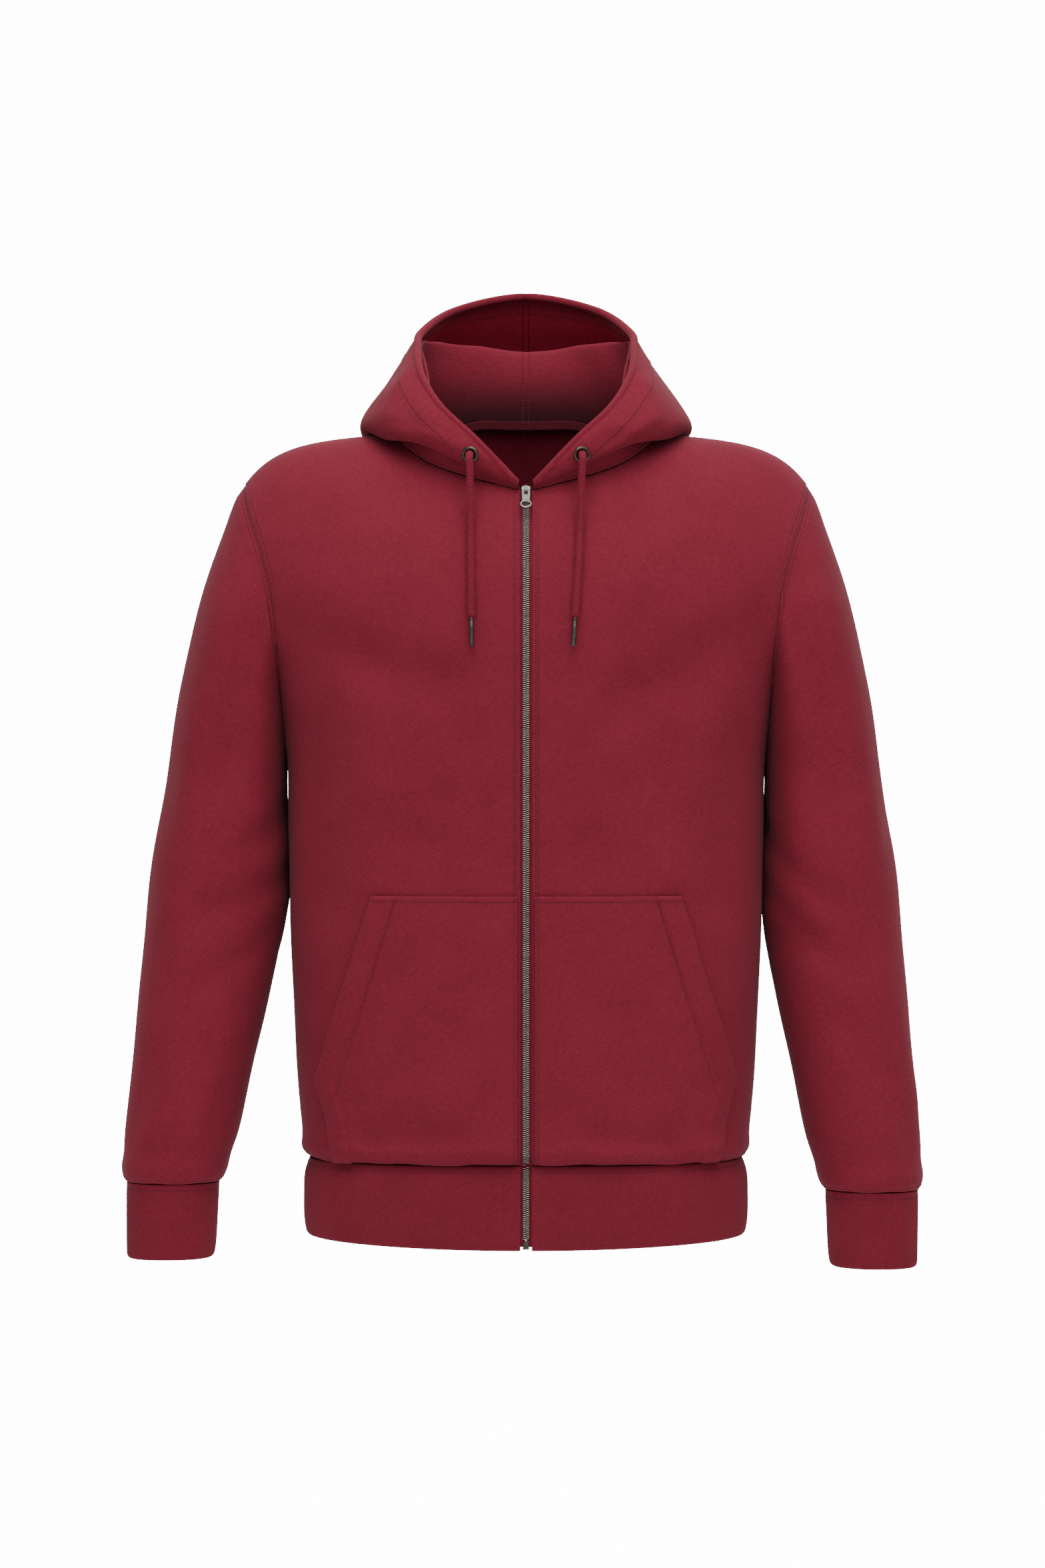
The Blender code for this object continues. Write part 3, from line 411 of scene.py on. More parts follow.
# %% Smooth curve through a table
def curve_through(knots, values, at):
    """Cubic through the values at the knots; each knot's tangent is its parabola's."""
    knots = np.asarray(knots, float)
    values = np.asarray(values, float)
    at = np.clip(np.asarray(at, float), knots[0], knots[-1])
    step = np.diff(knots)
    shape = (-1,) + (1,) * (values.ndim - 1)
    slope = np.diff(values, axis=0) / step.reshape(shape)
    before = step[:-1].reshape(shape)
    after = step[1:].reshape(shape)
    middle = (slope[:-1] * after + slope[1:] * before) / (before + after)
    first = 1.5 * slope[:1] - 0.5 * middle[:1]
    last = 1.5 * slope[-1:] - 0.5 * middle[-1:]
    tangent = np.concatenate([first, middle, last])
    index = np.clip(np.searchsorted(knots, at, side="right") - 1, 0, len(step) - 1)
    share = (at - knots[index]) / step[index]
    share = share.reshape(at.shape + (1,) * (values.ndim - 1))
    length = step[index].reshape(share.shape)
    start_weight = (1 + 2 * share) * (1 - share) ** 2
    end_weight = share ** 2 * (3 - 2 * share)
    return (start_weight * values[index] + end_weight * values[index + 1]
            + length * share * (1 - share) ** 2 * tangent[index]
            - length * share ** 2 * (1 - share) * tangent[index + 1])


# %% Rings of the body and the waistband
HEM_LEVEL = -0.6145
BAND_BOTTOM = -0.684
UNDERARM_LEVEL = -0.260
DOME_LEVEL = -0.200
TOP_LEVEL = 0.006
FRONT_NECK_LEVEL = -0.051
SEAM_GAP = 0.0003
FLEECE = 0.002
RIB = 0.003

SQUARENESS = 2.8
TYPICAL_HALF_WIDTH = 0.21
TYPICAL_DEPTH = 0.13
BODY_RINGS = {
    "level": (-0.6145, -0.6090, -0.5950, -0.5600, -0.5000, -0.4260,
              -0.3400, -0.2600, -0.2000, -0.1540, -0.0910, 0.0060),
    "half_width": (0.1845, 0.1885, 0.1905, 0.1935, 0.1970, 0.2000,
                   0.2035, 0.2055, 0.2210, 0.2430, 0.2620, 0.2680),
    "front": (0.1265, 0.1310, 0.1325, 0.1335, 0.1340, 0.1345,
              0.1355, 0.1360, 0.1350, 0.1350, 0.1350, 0.1350),
    "back": (0.1165, 0.1205, 0.1220, 0.1225, 0.1220, 0.1210,
             0.1210, 0.1225, 0.1250, 0.1250, 0.1250, 0.1250),
}
BAND_RINGS = {
    "level": (-0.684, -0.675, -0.650, -0.624, -0.6148),
    "half_width": (0.1868, 0.1885, 0.1895, 0.1876, 0.1845),
    "front": (0.1285, 0.1300, 0.1305, 0.1295, 0.1265),
    "back": (0.1185, 0.1200, 0.1205, 0.1195, 0.1165),
}


def ring_shape(steps=2000):
    """Quarter of a superellipse: sin and cos of an angle, each to the power 2 / squareness."""
    angle = np.linspace(0.0, math.pi / 2, steps)
    across = np.sin(angle) ** (2 / SQUARENESS)
    forward = np.cos(angle) ** (2 / SQUARENESS)
    run = np.hypot(np.diff(across) * TYPICAL_HALF_WIDTH, np.diff(forward) * TYPICAL_DEPTH)
    share = np.concatenate([[0.0], np.cumsum(run)])
    return share / share[-1], across, forward


SHARE, ACROSS, FORWARD = ring_shape()


def ring_point(rings, how_far, level):
    """Point of a ring at its level: how_far is 0 at the centre front, 1 at the side, 2 at the back."""
    quarter = np.where(how_far <= 1, how_far, 2 - how_far)
    across = np.interp(quarter, SHARE, ACROSS)
    forward = np.interp(quarter, SHARE, FORWARD)
    width = curve_through(rings["level"], rings["half_width"], level)
    front = curve_through(rings["level"], rings["front"], level)
    back = curve_through(rings["level"], rings["back"], level)
    depth = np.where(how_far <= 1, -front, back)
    return np.stack([width * across, depth * forward, level + 0 * across], axis=-1)


# %% Shoulders: the rings close over them like a dome
SHOULDER_HALF = 0.241
SHOULDER_SLOPE = 0.0174
SHOULDER_CORNER = 0.030
CORNER_POWER = 10
NAPE_RISE = 0.072
NAPE_HALF = 0.076
NAPE_FLATNESS = 4
NAPE_POWER = 6
SLOPE_STEP = 0.001


def shoulder_height(x):
    """Height of the shoulder line: a gentle slope, then a round corner at the sleeve head."""
    side = np.abs(x) / SHOULDER_HALF
    return TOP_LEVEL - SHOULDER_SLOPE * side ** 2 - SHOULDER_CORNER * side ** CORNER_POWER


def body_point(how_far, level):
    """Point of the body's outer form; above the dome's foot y shrinks as a quarter circle."""
    how_far, level = np.broadcast_arrays(np.asarray(how_far, float), np.asarray(level, float))
    point = ring_point(BODY_RINGS, how_far, level)
    climb = np.clip((level - DOME_LEVEL) / (TOP_LEVEL - DOME_LEVEL), 0.0, 1.0)
    x = point[..., 0]
    y = point[..., 1] * np.sqrt(1 - climb ** 2)
    nape = NAPE_RISE * np.exp(-(x / NAPE_HALF) ** NAPE_FLATNESS) * climb ** NAPE_POWER
    domed = DOME_LEVEL + climb * (shoulder_height(x) - DOME_LEVEL)
    domed = domed + np.where(how_far > 1, nape, 0.0)
    z = np.where(level > DOME_LEVEL, domed, level)
    return np.stack([x, y, z], axis=-1)


def round_at(x, level):
    """How far round a ring lies a given x, on the front."""
    width = curve_through(BODY_RINGS["level"], BODY_RINGS["half_width"], level)
    return np.interp(x / width, ACROSS, SHARE)


def arc_of(level):
    """Level as an arc: even steps of it are even steps over the shoulder's round."""
    climb = (np.asarray(level) - DOME_LEVEL) / (TOP_LEVEL - DOME_LEVEL)
    return np.where(climb > 0, np.arcsin(np.clip(climb, 0, 1)), climb)


def level_of(arc):
    """Level at an arc."""
    return DOME_LEVEL + (TOP_LEVEL - DOME_LEVEL) * np.where(arc > 0, np.sin(arc), arc)


# %% Seams of the panels, by how far round and level
ARMPIT_ROW = 0.60
NECK_COLUMN = 0.45
FRONT_EDGE = 0.0047
ARMHOLE = {
    "x": (0.2055, 0.2068, 0.2085, 0.2115, 0.2220, 0.2325, 0.2390, 0.2410),
    "level": (-0.260, -0.243, -0.205, -0.150, -0.095, -0.050, -0.015, 0.006),
}
NECK_FRONT = {
    "x": (0.0047, 0.035, 0.062, 0.083, 0.100, 0.1095, 0.112),
    "level": (-0.051, -0.0435, -0.0347, -0.0248, -0.0109, 0.0005, 0.006),
}
NECK_BACK = {
    "x": (0.0, 0.030, 0.060, 0.085, 0.102, 0.1100, 0.112),
    "level": (-0.0193, -0.0185, -0.0150, -0.0080, 0.0000, 0.0048, 0.006),
}


def neck_edge(table, share):
    """Neck seam from its middle (share 0) to the shoulder (share 1)."""
    knots = np.linspace(0.0, 1.0, len(table["x"]))
    x = curve_through(knots, table["x"], share)
    level = curve_through(knots, table["level"], share)
    return round_at(x, level), level


def side_edge(share):
    """A panel's outer edge: side seam up to the armpit, then armhole up to the shoulder."""
    above = np.clip((share - ARMPIT_ROW) / (1 - ARMPIT_ROW), 0.0, 1.0)
    knots = np.linspace(0.0, 1.0, len(ARMHOLE["level"]))
    x = curve_through(knots, ARMHOLE["x"], above)
    armhole_level = curve_through(knots, ARMHOLE["level"], above)
    seam_level = HEM_LEVEL + (UNDERARM_LEVEL - HEM_LEVEL) * share / ARMPIT_ROW
    how_far = np.where(share <= ARMPIT_ROW, 1.0, round_at(x, armhole_level))
    return how_far, np.where(share <= ARMPIT_ROW, seam_level, armhole_level)


def blend_patch(left, right, bottom, top, across, up):
    """Coons patch: blend of the sides plus blend of the ends, less the blend of the corners."""
    corners = ((1 - across) * (1 - up) * bottom[0] + across * (1 - up) * bottom[-1]
               + (1 - across) * up * top[0] + across * up * top[-1])
    sides = (1 - across) * left[:, None] + across * right[:, None]
    ends = (1 - up) * bottom[None, :] + up * top[None, :]
    return sides + ends - corners


def centre_levels(centre_level, rows):
    """Levels of a panel's rows on its centre line."""
    lower = np.clip(rows / ARMPIT_ROW, 0, 1)
    upper = np.clip((rows - ARMPIT_ROW) / (1 - ARMPIT_ROW), 0, 1)
    return HEM_LEVEL + (UNDERARM_LEVEL - HEM_LEVEL) * lower + (centre_level - UNDERARM_LEVEL) * upper


def panel_half(neck_table, centre_level, up, across):
    """Patch from the centre line (across 0) to the side seam, at the rows and columns given."""
    side_round, side_level = side_edge(up)
    centre = centre_levels(centre_level, up)
    centre_round = round_at(neck_table["x"][0], centre)
    hem_round = centre_round[0] + (1 - centre_round[0]) * across
    neck_round, neck_level = neck_edge(neck_table, np.clip(across / NECK_COLUMN, 0, 1))
    along = np.clip((across - NECK_COLUMN) / (1 - NECK_COLUMN), 0, 1)
    shoulder_round = neck_round[-1] + (side_round[-1] - neck_round[-1]) * along
    top_round = np.where(across <= NECK_COLUMN, neck_round, shoulder_round)
    top_level = np.where(across <= NECK_COLUMN, neck_level, TOP_LEVEL)
    how_far = blend_patch(centre_round, side_round, hem_round, top_round, across[None, :], up[:, None])
    hem_arc = np.full(len(across), arc_of(HEM_LEVEL))
    arc = blend_patch(arc_of(centre), arc_of(side_level), hem_arc, arc_of(top_level),
                      across[None, :], up[:, None])
    return how_far, level_of(arc)


def moved_out(how_far, level, distance):
    """The body's points moved along their normal, the cross product of two short steps."""
    arc = np.minimum(arc_of(level), math.pi / 2 - SLOPE_STEP)
    here = level_of(arc)
    beside = body_point(np.minimum(how_far + SLOPE_STEP, 2), here)
    beside = beside - body_point(np.maximum(how_far - SLOPE_STEP, 0), here)
    above = body_point(how_far, level_of(arc + SLOPE_STEP)) - body_point(how_far, level_of(arc - SLOPE_STEP))
    return body_point(how_far, level) + distance * unit(np.cross(beside, above))


print("body is", 2 * max(BODY_RINGS["half_width"][:8]), "m wide below the armpits")

# %% [markdown]
# ## Making cloth pieces
# A piece starts as a grid of points. Its normals come from the grid's own differences,
# and creases push it in or out along them. A modifier gives most pieces their wall; the
# hood, the pockets and the tapes, whose wall varies or whose inside is seen, have both
# faces in the mesh.

# %% Grids, spacing and soft creases
def eased(count, share):
    """Values 0 to 1 that crowd towards both ends: t less share times sin(2 pi t) / 2 pi."""
    even = np.linspace(0.0, 1.0, count)
    return even - share * np.sin(2 * np.pi * even) / (2 * np.pi)


def differences(points, axis, closed):
    """Central differences along a grid's rows or columns."""
    if closed:
        return np.roll(points, -1, axis=axis) - np.roll(points, 1, axis=axis)
    return np.gradient(points, axis=axis)


def grid_normals(points, closed=False):
    """Unit normals: along a row crossed with up a column, so outward for our grids."""
    normal = np.cross(differences(points, 1, closed), differences(points, 0, False))
    return normal / np.maximum(np.linalg.norm(normal, axis=-1, keepdims=True), 1e-12)


def smooth_step(value, low, high):
    """0 below low, 1 above high, and 3t^2 - 2t^3 between."""
    share = np.clip((value - low) / (high - low), 0.0, 1.0)
    return share * share * (3 - 2 * share)


def creases(across, up, table):
    """Sum of soft ridges: height times exp(-(distance to the line / width)^2).

    Each row is (across, up) of both ends, the width and the height; a trough's is negative.
    """
    total = np.zeros(np.broadcast(across, up).shape)
    for start_a, start_u, end_a, end_u, width, height in table:
        run_a = end_a - start_a
        run_u = end_u - start_u
        along = ((across - start_a) * run_a + (up - start_u) * run_u) / (run_a ** 2 + run_u ** 2)
        along = np.clip(along, 0.0, 1.0)
        away = np.hypot(across - start_a - along * run_a, up - start_u - along * run_u)
        total = total + height * bell(away, width)
    return total


def ripple(at, waves):
    """Sum of sines; each wave is (length, height, phase)."""
    total = 0.0
    for length, height, phase in waves:
        total = total + height * np.sin(2 * np.pi * at / length + phase)
    return total


def run_lengths(points, axis):
    """Distance along the grid's rows or columns from their start."""
    steps = np.linalg.norm(np.diff(points, axis=axis), axis=-1)
    start = np.zeros_like(np.take(steps, [0], axis=axis))
    return np.concatenate([start, np.cumsum(steps, axis=axis)], axis=axis)


# %% From a grid to a cloth piece
collection = bpy.data.collections.new("dressed_hoodie")
bpy.context.scene.collection.children.link(collection)
faces_of = {}
edges_of = {}


def grid_quads(rows, columns, closed):
    """Corner indices of a grid's quads, as one array."""
    row, column = np.meshgrid(np.arange(rows - 1), np.arange(columns if closed else columns - 1),
                              indexing="ij")
    beside = (column + 1) % columns
    corners = [row * columns + column, row * columns + beside,
               (row + 1) * columns + beside, (row + 1) * columns + column]
    return np.stack(corners, axis=-1).reshape(-1, 4)


def mesh_piece(name, vertices, faces, material, body=garment_body):
    """Smooth object at the origin from arrays of vertices and faces; it rides on a body."""
    mesh = bpy.data.meshes.new(name)
    mesh.from_pydata(vertices.reshape(-1, 3).tolist(), [], [list(map(int, face)) for face in faces])
    mesh.shade_smooth()
    mesh.materials.append(material)
    piece = bpy.data.objects.new(name, mesh)
    collection.objects.link(piece)
    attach(piece, body)
    return piece


def cloth(name, points, edges, material, wall, nodes, slot, held, closed=False):
    """Cloth piece from a grid (rows up, columns across) on its outer face."""
    quads = grid_quads(*points.shape[:2], closed)
    piece = mesh_piece(name, points, quads, material)
    write_edges(piece.data, edges)
    faces_of[name] = [(points, 1)]
    edges_of[name] = edges
    solid = piece.modifiers.new("wall", "SOLIDIFY")
    solid.thickness = wall
    solid.offset = -1.0
    declare(points, quads, nodes)


def declare(points, quads, nodes):
    """Hides the model's parts that the piece stands for; the corners of the grid's quads are taken but not
    used.
    """
    first, second, third, fourth = points.reshape(-1, 3)[quads].transpose(1, 0, 2)
    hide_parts(*nodes)


def write_edges(mesh, edges, copies=1):
    """Stores the distances to a grid's edges as attributes."""
    for label, distance in edges.items():
        values = mesh.attributes.new(label, "FLOAT", "POINT")
        flat = np.ascontiguousarray(distance, np.float32).reshape(-1)
        values.data.foreach_set("value", np.tile(flat, copies))


def thick_cloth(name, middle, wall, edges, material, nodes, held=None):
    """Cloth with both its faces, such as one with a rolled hem: the middle moved half the wall each way.

    The hood's middle faces in, so its first face is the lining. A narrow tape that lies on
    a seam from end to end is held by nothing of its own: held is None.
    """
    rows, columns = middle.shape[:2]
    normal = grid_normals(middle) * (wall / 2)[..., None]
    outer = middle + normal
    quads = grid_quads(rows, columns, False)
    count = rows * columns
    index = np.arange(count).reshape(rows, columns)
    loop = np.concatenate([index[0], index[1:, -1], index[-1, -2::-1], index[-2:0:-1, 0]])
    ahead = np.roll(loop, -1)
    rim = np.stack([ahead, loop, loop + count, ahead + count], axis=-1)
    faces = np.concatenate([quads, quads[:, ::-1] + count, rim])
    piece = mesh_piece(name, np.concatenate([outer, middle - normal]), faces, material)
    write_edges(piece.data, edges, 2)
    faces_of[name] = [(outer, 1), (middle - normal, -1)]
    edges_of[name] = edges
    if held:
        declare(outer, quads, nodes)
    else:
        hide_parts(*nodes)
    return piece


def mirrored(points):
    """The other half: x turned over, and the columns reversed so that faces stay outward."""
    return (points * OTHER_SIDE)[:, ::-1]


def for_side(sign, points, edges):
    """A grid of the wearer's left half as it is, or turned over for the right."""
    if sign > 0:
        return points, edges
    return mirrored(points), {label: distance[:, ::-1] for label, distance in edges.items()}


# %% The cloths of this hoodie
CENTRE_ROWS = (0.0036, 0.0053)
ARMHOLE_ROWS = (0.0024, 0.0056)
NO_ROW = 9.0
HEM_ROWS = (0.0048, NO_ROW)
NECK_ROWS = (0.0022, NO_ROW)
fleece = cloth_finish(
    "fleece", *FLEECE_LOOK,
    rows=(("centre_edge", *CENTRE_ROWS), ("armhole_edge", *ARMHOLE_ROWS),
          ("hem_edge", *HEM_ROWS), ("neck_edge", *NECK_ROWS)))
print("fleece rows at", CENTRE_ROWS, ARMHOLE_ROWS)

# %% [markdown]
# ## Fronts and back
# Each front runs from the zip to the side seam and from the waistband to the shoulder.
# Filled out, the cloth hangs from the shoulders in a few long, soft troughs: one from
# each armpit towards the zip, then down, and shallower ones beside it. Above the
# waistband the cloth is a little fuller than the rib and puffs over the seam.

# %% Fronts
PANEL_ROWS = 150
FRONT_COLUMNS = 72
TUCK = 0.0008
TUCK_WIDTH = 0.0013
PUFF = 0.0016
PUFF_CENTRE = 0.013
PUFF_WIDTH = 0.010
HEM_SWING = 0.0011
HEM_FADE = 0.009
HEM_WAVE_DEPTH = 0.6
PUFF_WAVE = 0.6
HEM_PHASE = 0.03
BACK_PHASE = 0.21
PANEL_CROWDING = 0.8
EDGE_CROWDING = 0.75
HEM_WAVES = ((0.110, 0.6, 0.4), (0.061, 0.45, 2.1), (0.033, 0.2, 1.0))
BODY_WAVES_ACROSS = ((0.172, 0.0006, 0.9), (0.094, 0.0004, 2.4))
BODY_WAVES_UP = ((0.260, 0.0006, 0.3), (0.137, 0.0004, 1.7))
POCKET_ROOM = 0.0022
POCKET_BACK_LEVEL = (-0.6115, -0.545, -0.391)
POCKET_BACK_X = (0.160, 0.175, 0.128)
ROOM_SIDE_FADE = (0.006, 0.020)
ROOM_CENTRE_FADE = (0.016, 0.030)
ROOM_TOP_FADE = (0.399, 0.412)
ROOM_FOOT_FADE = (-0.6040, -0.5960)
CENTRE_FREE = (0.006, 0.045)
SIDE_FREE = (0.003, 0.030)
HEM_FREE = (0.010, 0.040)
NECK_FREE = (0.005, 0.035)
PUFF_FREE = (0.002, 0.020)
SWING_FREE = (0.0, 0.020)
NECK_REACH = 0.125
FAR = 1.0
ALLOWANCE_IN = 0.0034
ALLOWANCE = 0.0055
FRONT_CREASES = {
    1: ((0.197, -0.160, 0.110, -0.215, 0.024, -0.0042), (0.108, -0.212, 0.078, -0.240, 0.022, -0.0030),
        (0.086, -0.225, 0.120, -0.330, 0.021, -0.0032), (0.140, -0.250, 0.128, -0.370, 0.020, 0.0026),
        (0.176, -0.270, 0.163, -0.400, 0.016, -0.0028), (0.052, -0.200, 0.050, -0.320, 0.020, 0.0016),
        (0.030, -0.255, 0.045, -0.370, 0.015, -0.0016), (0.150, -0.060, 0.100, -0.130, 0.030, 0.0018),
        (0.176, -0.500, 0.168, -0.585, 0.012, -0.0020)),
    -1: ((0.200, -0.165, 0.130, -0.196, 0.022, -0.0042), (0.130, -0.194, 0.070, -0.218, 0.022, -0.0034),
         (0.072, -0.215, 0.092, -0.345, 0.021, -0.0036), (0.147, -0.215, 0.124, -0.300, 0.020, 0.0026),
         (0.126, -0.300, 0.146, -0.375, 0.018, 0.0020), (0.180, -0.250, 0.170, -0.390, 0.018, -0.0030),
         (0.035, -0.260, 0.040, -0.360, 0.015, -0.0014), (0.140, -0.055, 0.095, -0.125, 0.030, 0.0016),
         (0.178, -0.480, 0.166, -0.580, 0.012, -0.0018)),
}


def edge_distances(points):
    """Distances from each point to the grid's first and last column and first and last row."""
    across = run_lengths(points, 1)
    up = run_lengths(points, 0)
    return across, across[:, -1:] - across, up, up[-1:] - up


def tucked(*distances):
    """How far the cloth turns in at its seams: a narrow dip at each edge."""
    return sum(-TUCK * bell(distance, TUCK_WIDTH) for distance in distances)


def hem_puff(points, from_hem, phase):
    """Fullness above a ribbed hem: how far out, and how far the edge swings down."""
    wave = ripple(points[..., 0] + points[..., 1] * HEM_WAVE_DEPTH + phase, HEM_WAVES)
    out = PUFF * (1 + PUFF_WAVE * wave) * bell(from_hem - PUFF_CENTRE, PUFF_WIDTH)
    return out, HEM_SWING * wave * bell(from_hem, HEM_FADE)


def body_fall(x, z, table):
    """The body's creases and slow waves at places on the front or back."""
    return creases(x, z, table) + ripple(x, BODY_WAVES_ACROSS) + ripple(z, BODY_WAVES_UP)


def under_pocket(x, z):
    """1 where the front lies behind its pocket, fading to 0 a little inside the pocket's outline."""
    outer = np.interp(z, POCKET_BACK_LEVEL, POCKET_BACK_X)
    return (smooth_step(outer - x, *ROOM_SIDE_FADE) * smooth_step(x, *ROOM_CENTRE_FADE)
            * smooth_step(-z, *ROOM_TOP_FADE) * smooth_step(z, *ROOM_FOOT_FADE))


def with_allowance(points, edges, inward, onward):
    """Adds the seam allowance beyond the last row: in behind the other cloth, then on past the seam."""
    turned = points[-1] + ALLOWANCE_IN * inward
    points = np.concatenate([points, [turned, turned + ALLOWANCE * onward]])
    return points, {label: np.concatenate([distance, distance[-1:], distance[-1:]])
                    for label, distance in edges.items()}


def relaxed(grid, times=50, rim=9):
    """Evens a grid of parameters out inside its rim, so that no corner of an edge runs on across it."""
    row, column = (np.minimum(np.arange(count), np.arange(count)[::-1]) for count in grid.shape)
    near = np.minimum(row[:, None], column[None, :])
    share = np.clip(near / rim, 0.0, 1.0)[1:-1, 1:-1]
    grid = grid.copy()
    for _ in range(times):
        around = (grid[:-2, 1:-1] + grid[2:, 1:-1] + grid[1:-1, :-2] + grid[1:-1, 2:]) / 4
        grid[1:-1, 1:-1] += share * (around - grid[1:-1, 1:-1])
    return grid


def sewn_edges(points, level, from_side, from_hem, from_neck):
    """Distances to a panel's armhole, hem and neck, each far away where the edge isn't beside the place."""
    return {
        "armhole_edge": np.where(level > UNDERARM_LEVEL, from_side, FAR),
        "hem_edge": from_hem,
        "neck_edge": np.where(np.abs(points[..., 0]) < NECK_REACH, from_neck, FAR),
    }


def front_grid(sign):
    """Front of the wearer's left half with its own side's creases; mirrored for the right."""
    how_far, level = panel_half(NECK_FRONT, FRONT_NECK_LEVEL, eased(PANEL_ROWS, PANEL_CROWDING),
                                eased(FRONT_COLUMNS, EDGE_CROWDING))
    how_far, level = relaxed(how_far), relaxed(level)
    points = moved_out(how_far, level, 0.0)
    points[:, 0, 0] = FRONT_EDGE
    from_centre, from_side, from_hem, from_neck = edge_distances(points)
    free = (smooth_step(from_centre, *CENTRE_FREE) * smooth_step(from_side, *SIDE_FREE)
            * smooth_step(from_hem, *HEM_FREE) * smooth_step(from_neck, *NECK_FREE))
    puff, swing = hem_puff(points, from_hem, HEM_PHASE * sign)
    out = free * body_fall(points[..., 0], points[..., 2], FRONT_CREASES[sign])
    out = out + puff * smooth_step(from_centre, *PUFF_FREE)
    out = out + tucked(from_centre, from_side, from_hem, from_neck)
    out = out - POCKET_ROOM * under_pocket(points[..., 0], points[..., 2])
    points = points + out[..., None] * grid_normals(points)
    points[..., 2] += swing * smooth_step(from_centre, *SWING_FREE)
    return points, {"centre_edge": from_centre, **sewn_edges(points, level, from_side, from_hem, from_neck)}


for sign, side in SIDES.items():
    cloth("cloth_front_" + side, *for_side(sign, *front_grid(sign)), fleece, FLEECE,
          ["front_" + side], "fleece", "hung")

# %% Back
BACK_COLUMNS = 66
BACK_CROWDING = 0.98
BACK_CREASES = (
    (-0.190, -0.165, -0.080, -0.235, 0.026, -0.0040), (0.194, -0.170, 0.095, -0.222, 0.024, -0.0044),
    (-0.080, -0.235, -0.098, -0.380, 0.022, -0.0032), (0.092, -0.225, 0.076, -0.395, 0.022, -0.0034),
    (-0.020, -0.130, 0.012, -0.300, 0.028, 0.0022), (0.000, -0.300, -0.025, -0.470, 0.024, 0.0018),
    (-0.165, -0.260, -0.150, -0.420, 0.018, -0.0026), (0.168, -0.280, 0.158, -0.440, 0.018, -0.0028),
    (0.040, -0.430, 0.075, -0.560, 0.020, -0.0026), (-0.070, -0.450, -0.045, -0.575, 0.019, -0.0024),
    (0.130, -0.470, 0.120, -0.585, 0.016, 0.0022), (-0.130, -0.460, -0.140, -0.580, 0.016, 0.0020),
    (-0.100, -0.060, 0.090, -0.075, 0.026, -0.0018),
)


def back_grid():
    """Back from side seam to side seam: the half patch and its mirror, then the creases."""
    how_far, level = panel_half(NECK_BACK, NECK_BACK["level"][0], eased(PANEL_ROWS, PANEL_CROWDING),
                                np.linspace(0.0, 1.0, BACK_COLUMNS) ** BACK_CROWDING)
    half = moved_out(2 - how_far, level, 0.0)
    half[:, 0, 0] = 0.0
    points = np.concatenate([half[:, ::-1], half[:, 1:] * OTHER_SIDE], axis=1)
    level = np.concatenate([level[:, ::-1], level[:, 1:]], axis=1)
    from_left, from_right, from_hem, from_neck = edge_distances(points)
    from_side = np.minimum(from_left, from_right)
    free = (smooth_step(from_side, *SIDE_FREE) * smooth_step(from_hem, *HEM_FREE)
            * smooth_step(from_neck, *NECK_FREE))
    puff, swing = hem_puff(points, from_hem, BACK_PHASE)
    out = free * body_fall(points[..., 0], points[..., 2], BACK_CREASES) + puff
    out = out + tucked(from_side, from_hem, from_neck)
    points = points + out[..., None] * grid_normals(points)
    points[..., 2] += swing
    return points, sewn_edges(points, level, from_side, from_hem, from_neck)


cloth("cloth_back", *back_grid(), fleece, FLEECE, ["back"], "fleece", "hung")

# %% [markdown]
# ## Sleeves and cuffs
# A sleeve is a tube: its first rings have the armhole's own shape and ease into
# superellipses between an outer and an inner line. Where it lies against the body it is
# pressed flatter. The cloth collapses a little at the front of the elbow, where an arm
# would bend, and is fuller than the cuff that gathers it.

# %% Sleeve form
SLEEVE_RINGS = {
    "outer_x": (0.2475, 0.2550, 0.2645, 0.2750, 0.2855, 0.2945, 0.3020, 0.3090, 0.3150,
                0.3205, 0.3250, 0.3292, 0.3333, 0.3362, 0.3382, 0.3392, 0.3388, 0.3364),
    "outer_z": (-0.052, -0.069, -0.098, -0.134, -0.175, -0.217, -0.262, -0.308, -0.352,
                -0.397, -0.443, -0.490, -0.538, -0.584, -0.610, -0.625, -0.633, -0.6382),
    "inner_x": (0.2076, 0.2082, 0.2086, 0.2086, 0.2084, 0.2080, 0.2074, 0.2066, 0.2060,
                0.2075, 0.2140, 0.2215, 0.2310, 0.2410, 0.2478, 0.2518, 0.2540, 0.2578),
    "inner_z": (-0.2602, -0.266, -0.274, -0.286, -0.302, -0.324, -0.350, -0.378, -0.406,
                -0.434, -0.468, -0.505, -0.546, -0.588, -0.612, -0.626, -0.633, -0.6382),
    "half_depth": (0.0910, 0.0920, 0.0915, 0.0895, 0.0870, 0.0845, 0.0815, 0.0783, 0.0752,
                   0.0720, 0.0690, 0.0655, 0.0610, 0.0560, 0.0525, 0.0510, 0.0495, 0.0455),
    "middle_y": (0.000, 0.000, 0.000, 0.000, 0.000, 0.000, -0.002, -0.004, -0.007,
                 -0.010, -0.014, -0.018, -0.022, -0.026, -0.028, -0.029, -0.029, -0.029),
}
CUFF_LEVELS = (-0.6385, -0.6550, -0.6900, -0.7035)
CUFF_RINGS = {
    "outer_x": (0.3364, 0.3362, 0.3359, 0.3352),
    "outer_z": CUFF_LEVELS,
    "inner_x": (0.2578, 0.2588, 0.2605, 0.2630),
    "inner_z": CUFF_LEVELS,
    "half_depth": (0.0455, 0.0450, 0.0430, 0.0410),
    "middle_y": (-0.029, -0.0295, -0.0305, -0.031),
}
SLEEVE_SQUARENESS = 2.3
SLEEVE_LAP = 0.0010
HEAD_RINGS = 3.6
LEAD_ROWS = 12
PRESS_LEVEL = (-0.440, -0.412, -0.390, -0.360, -0.320, -0.286)
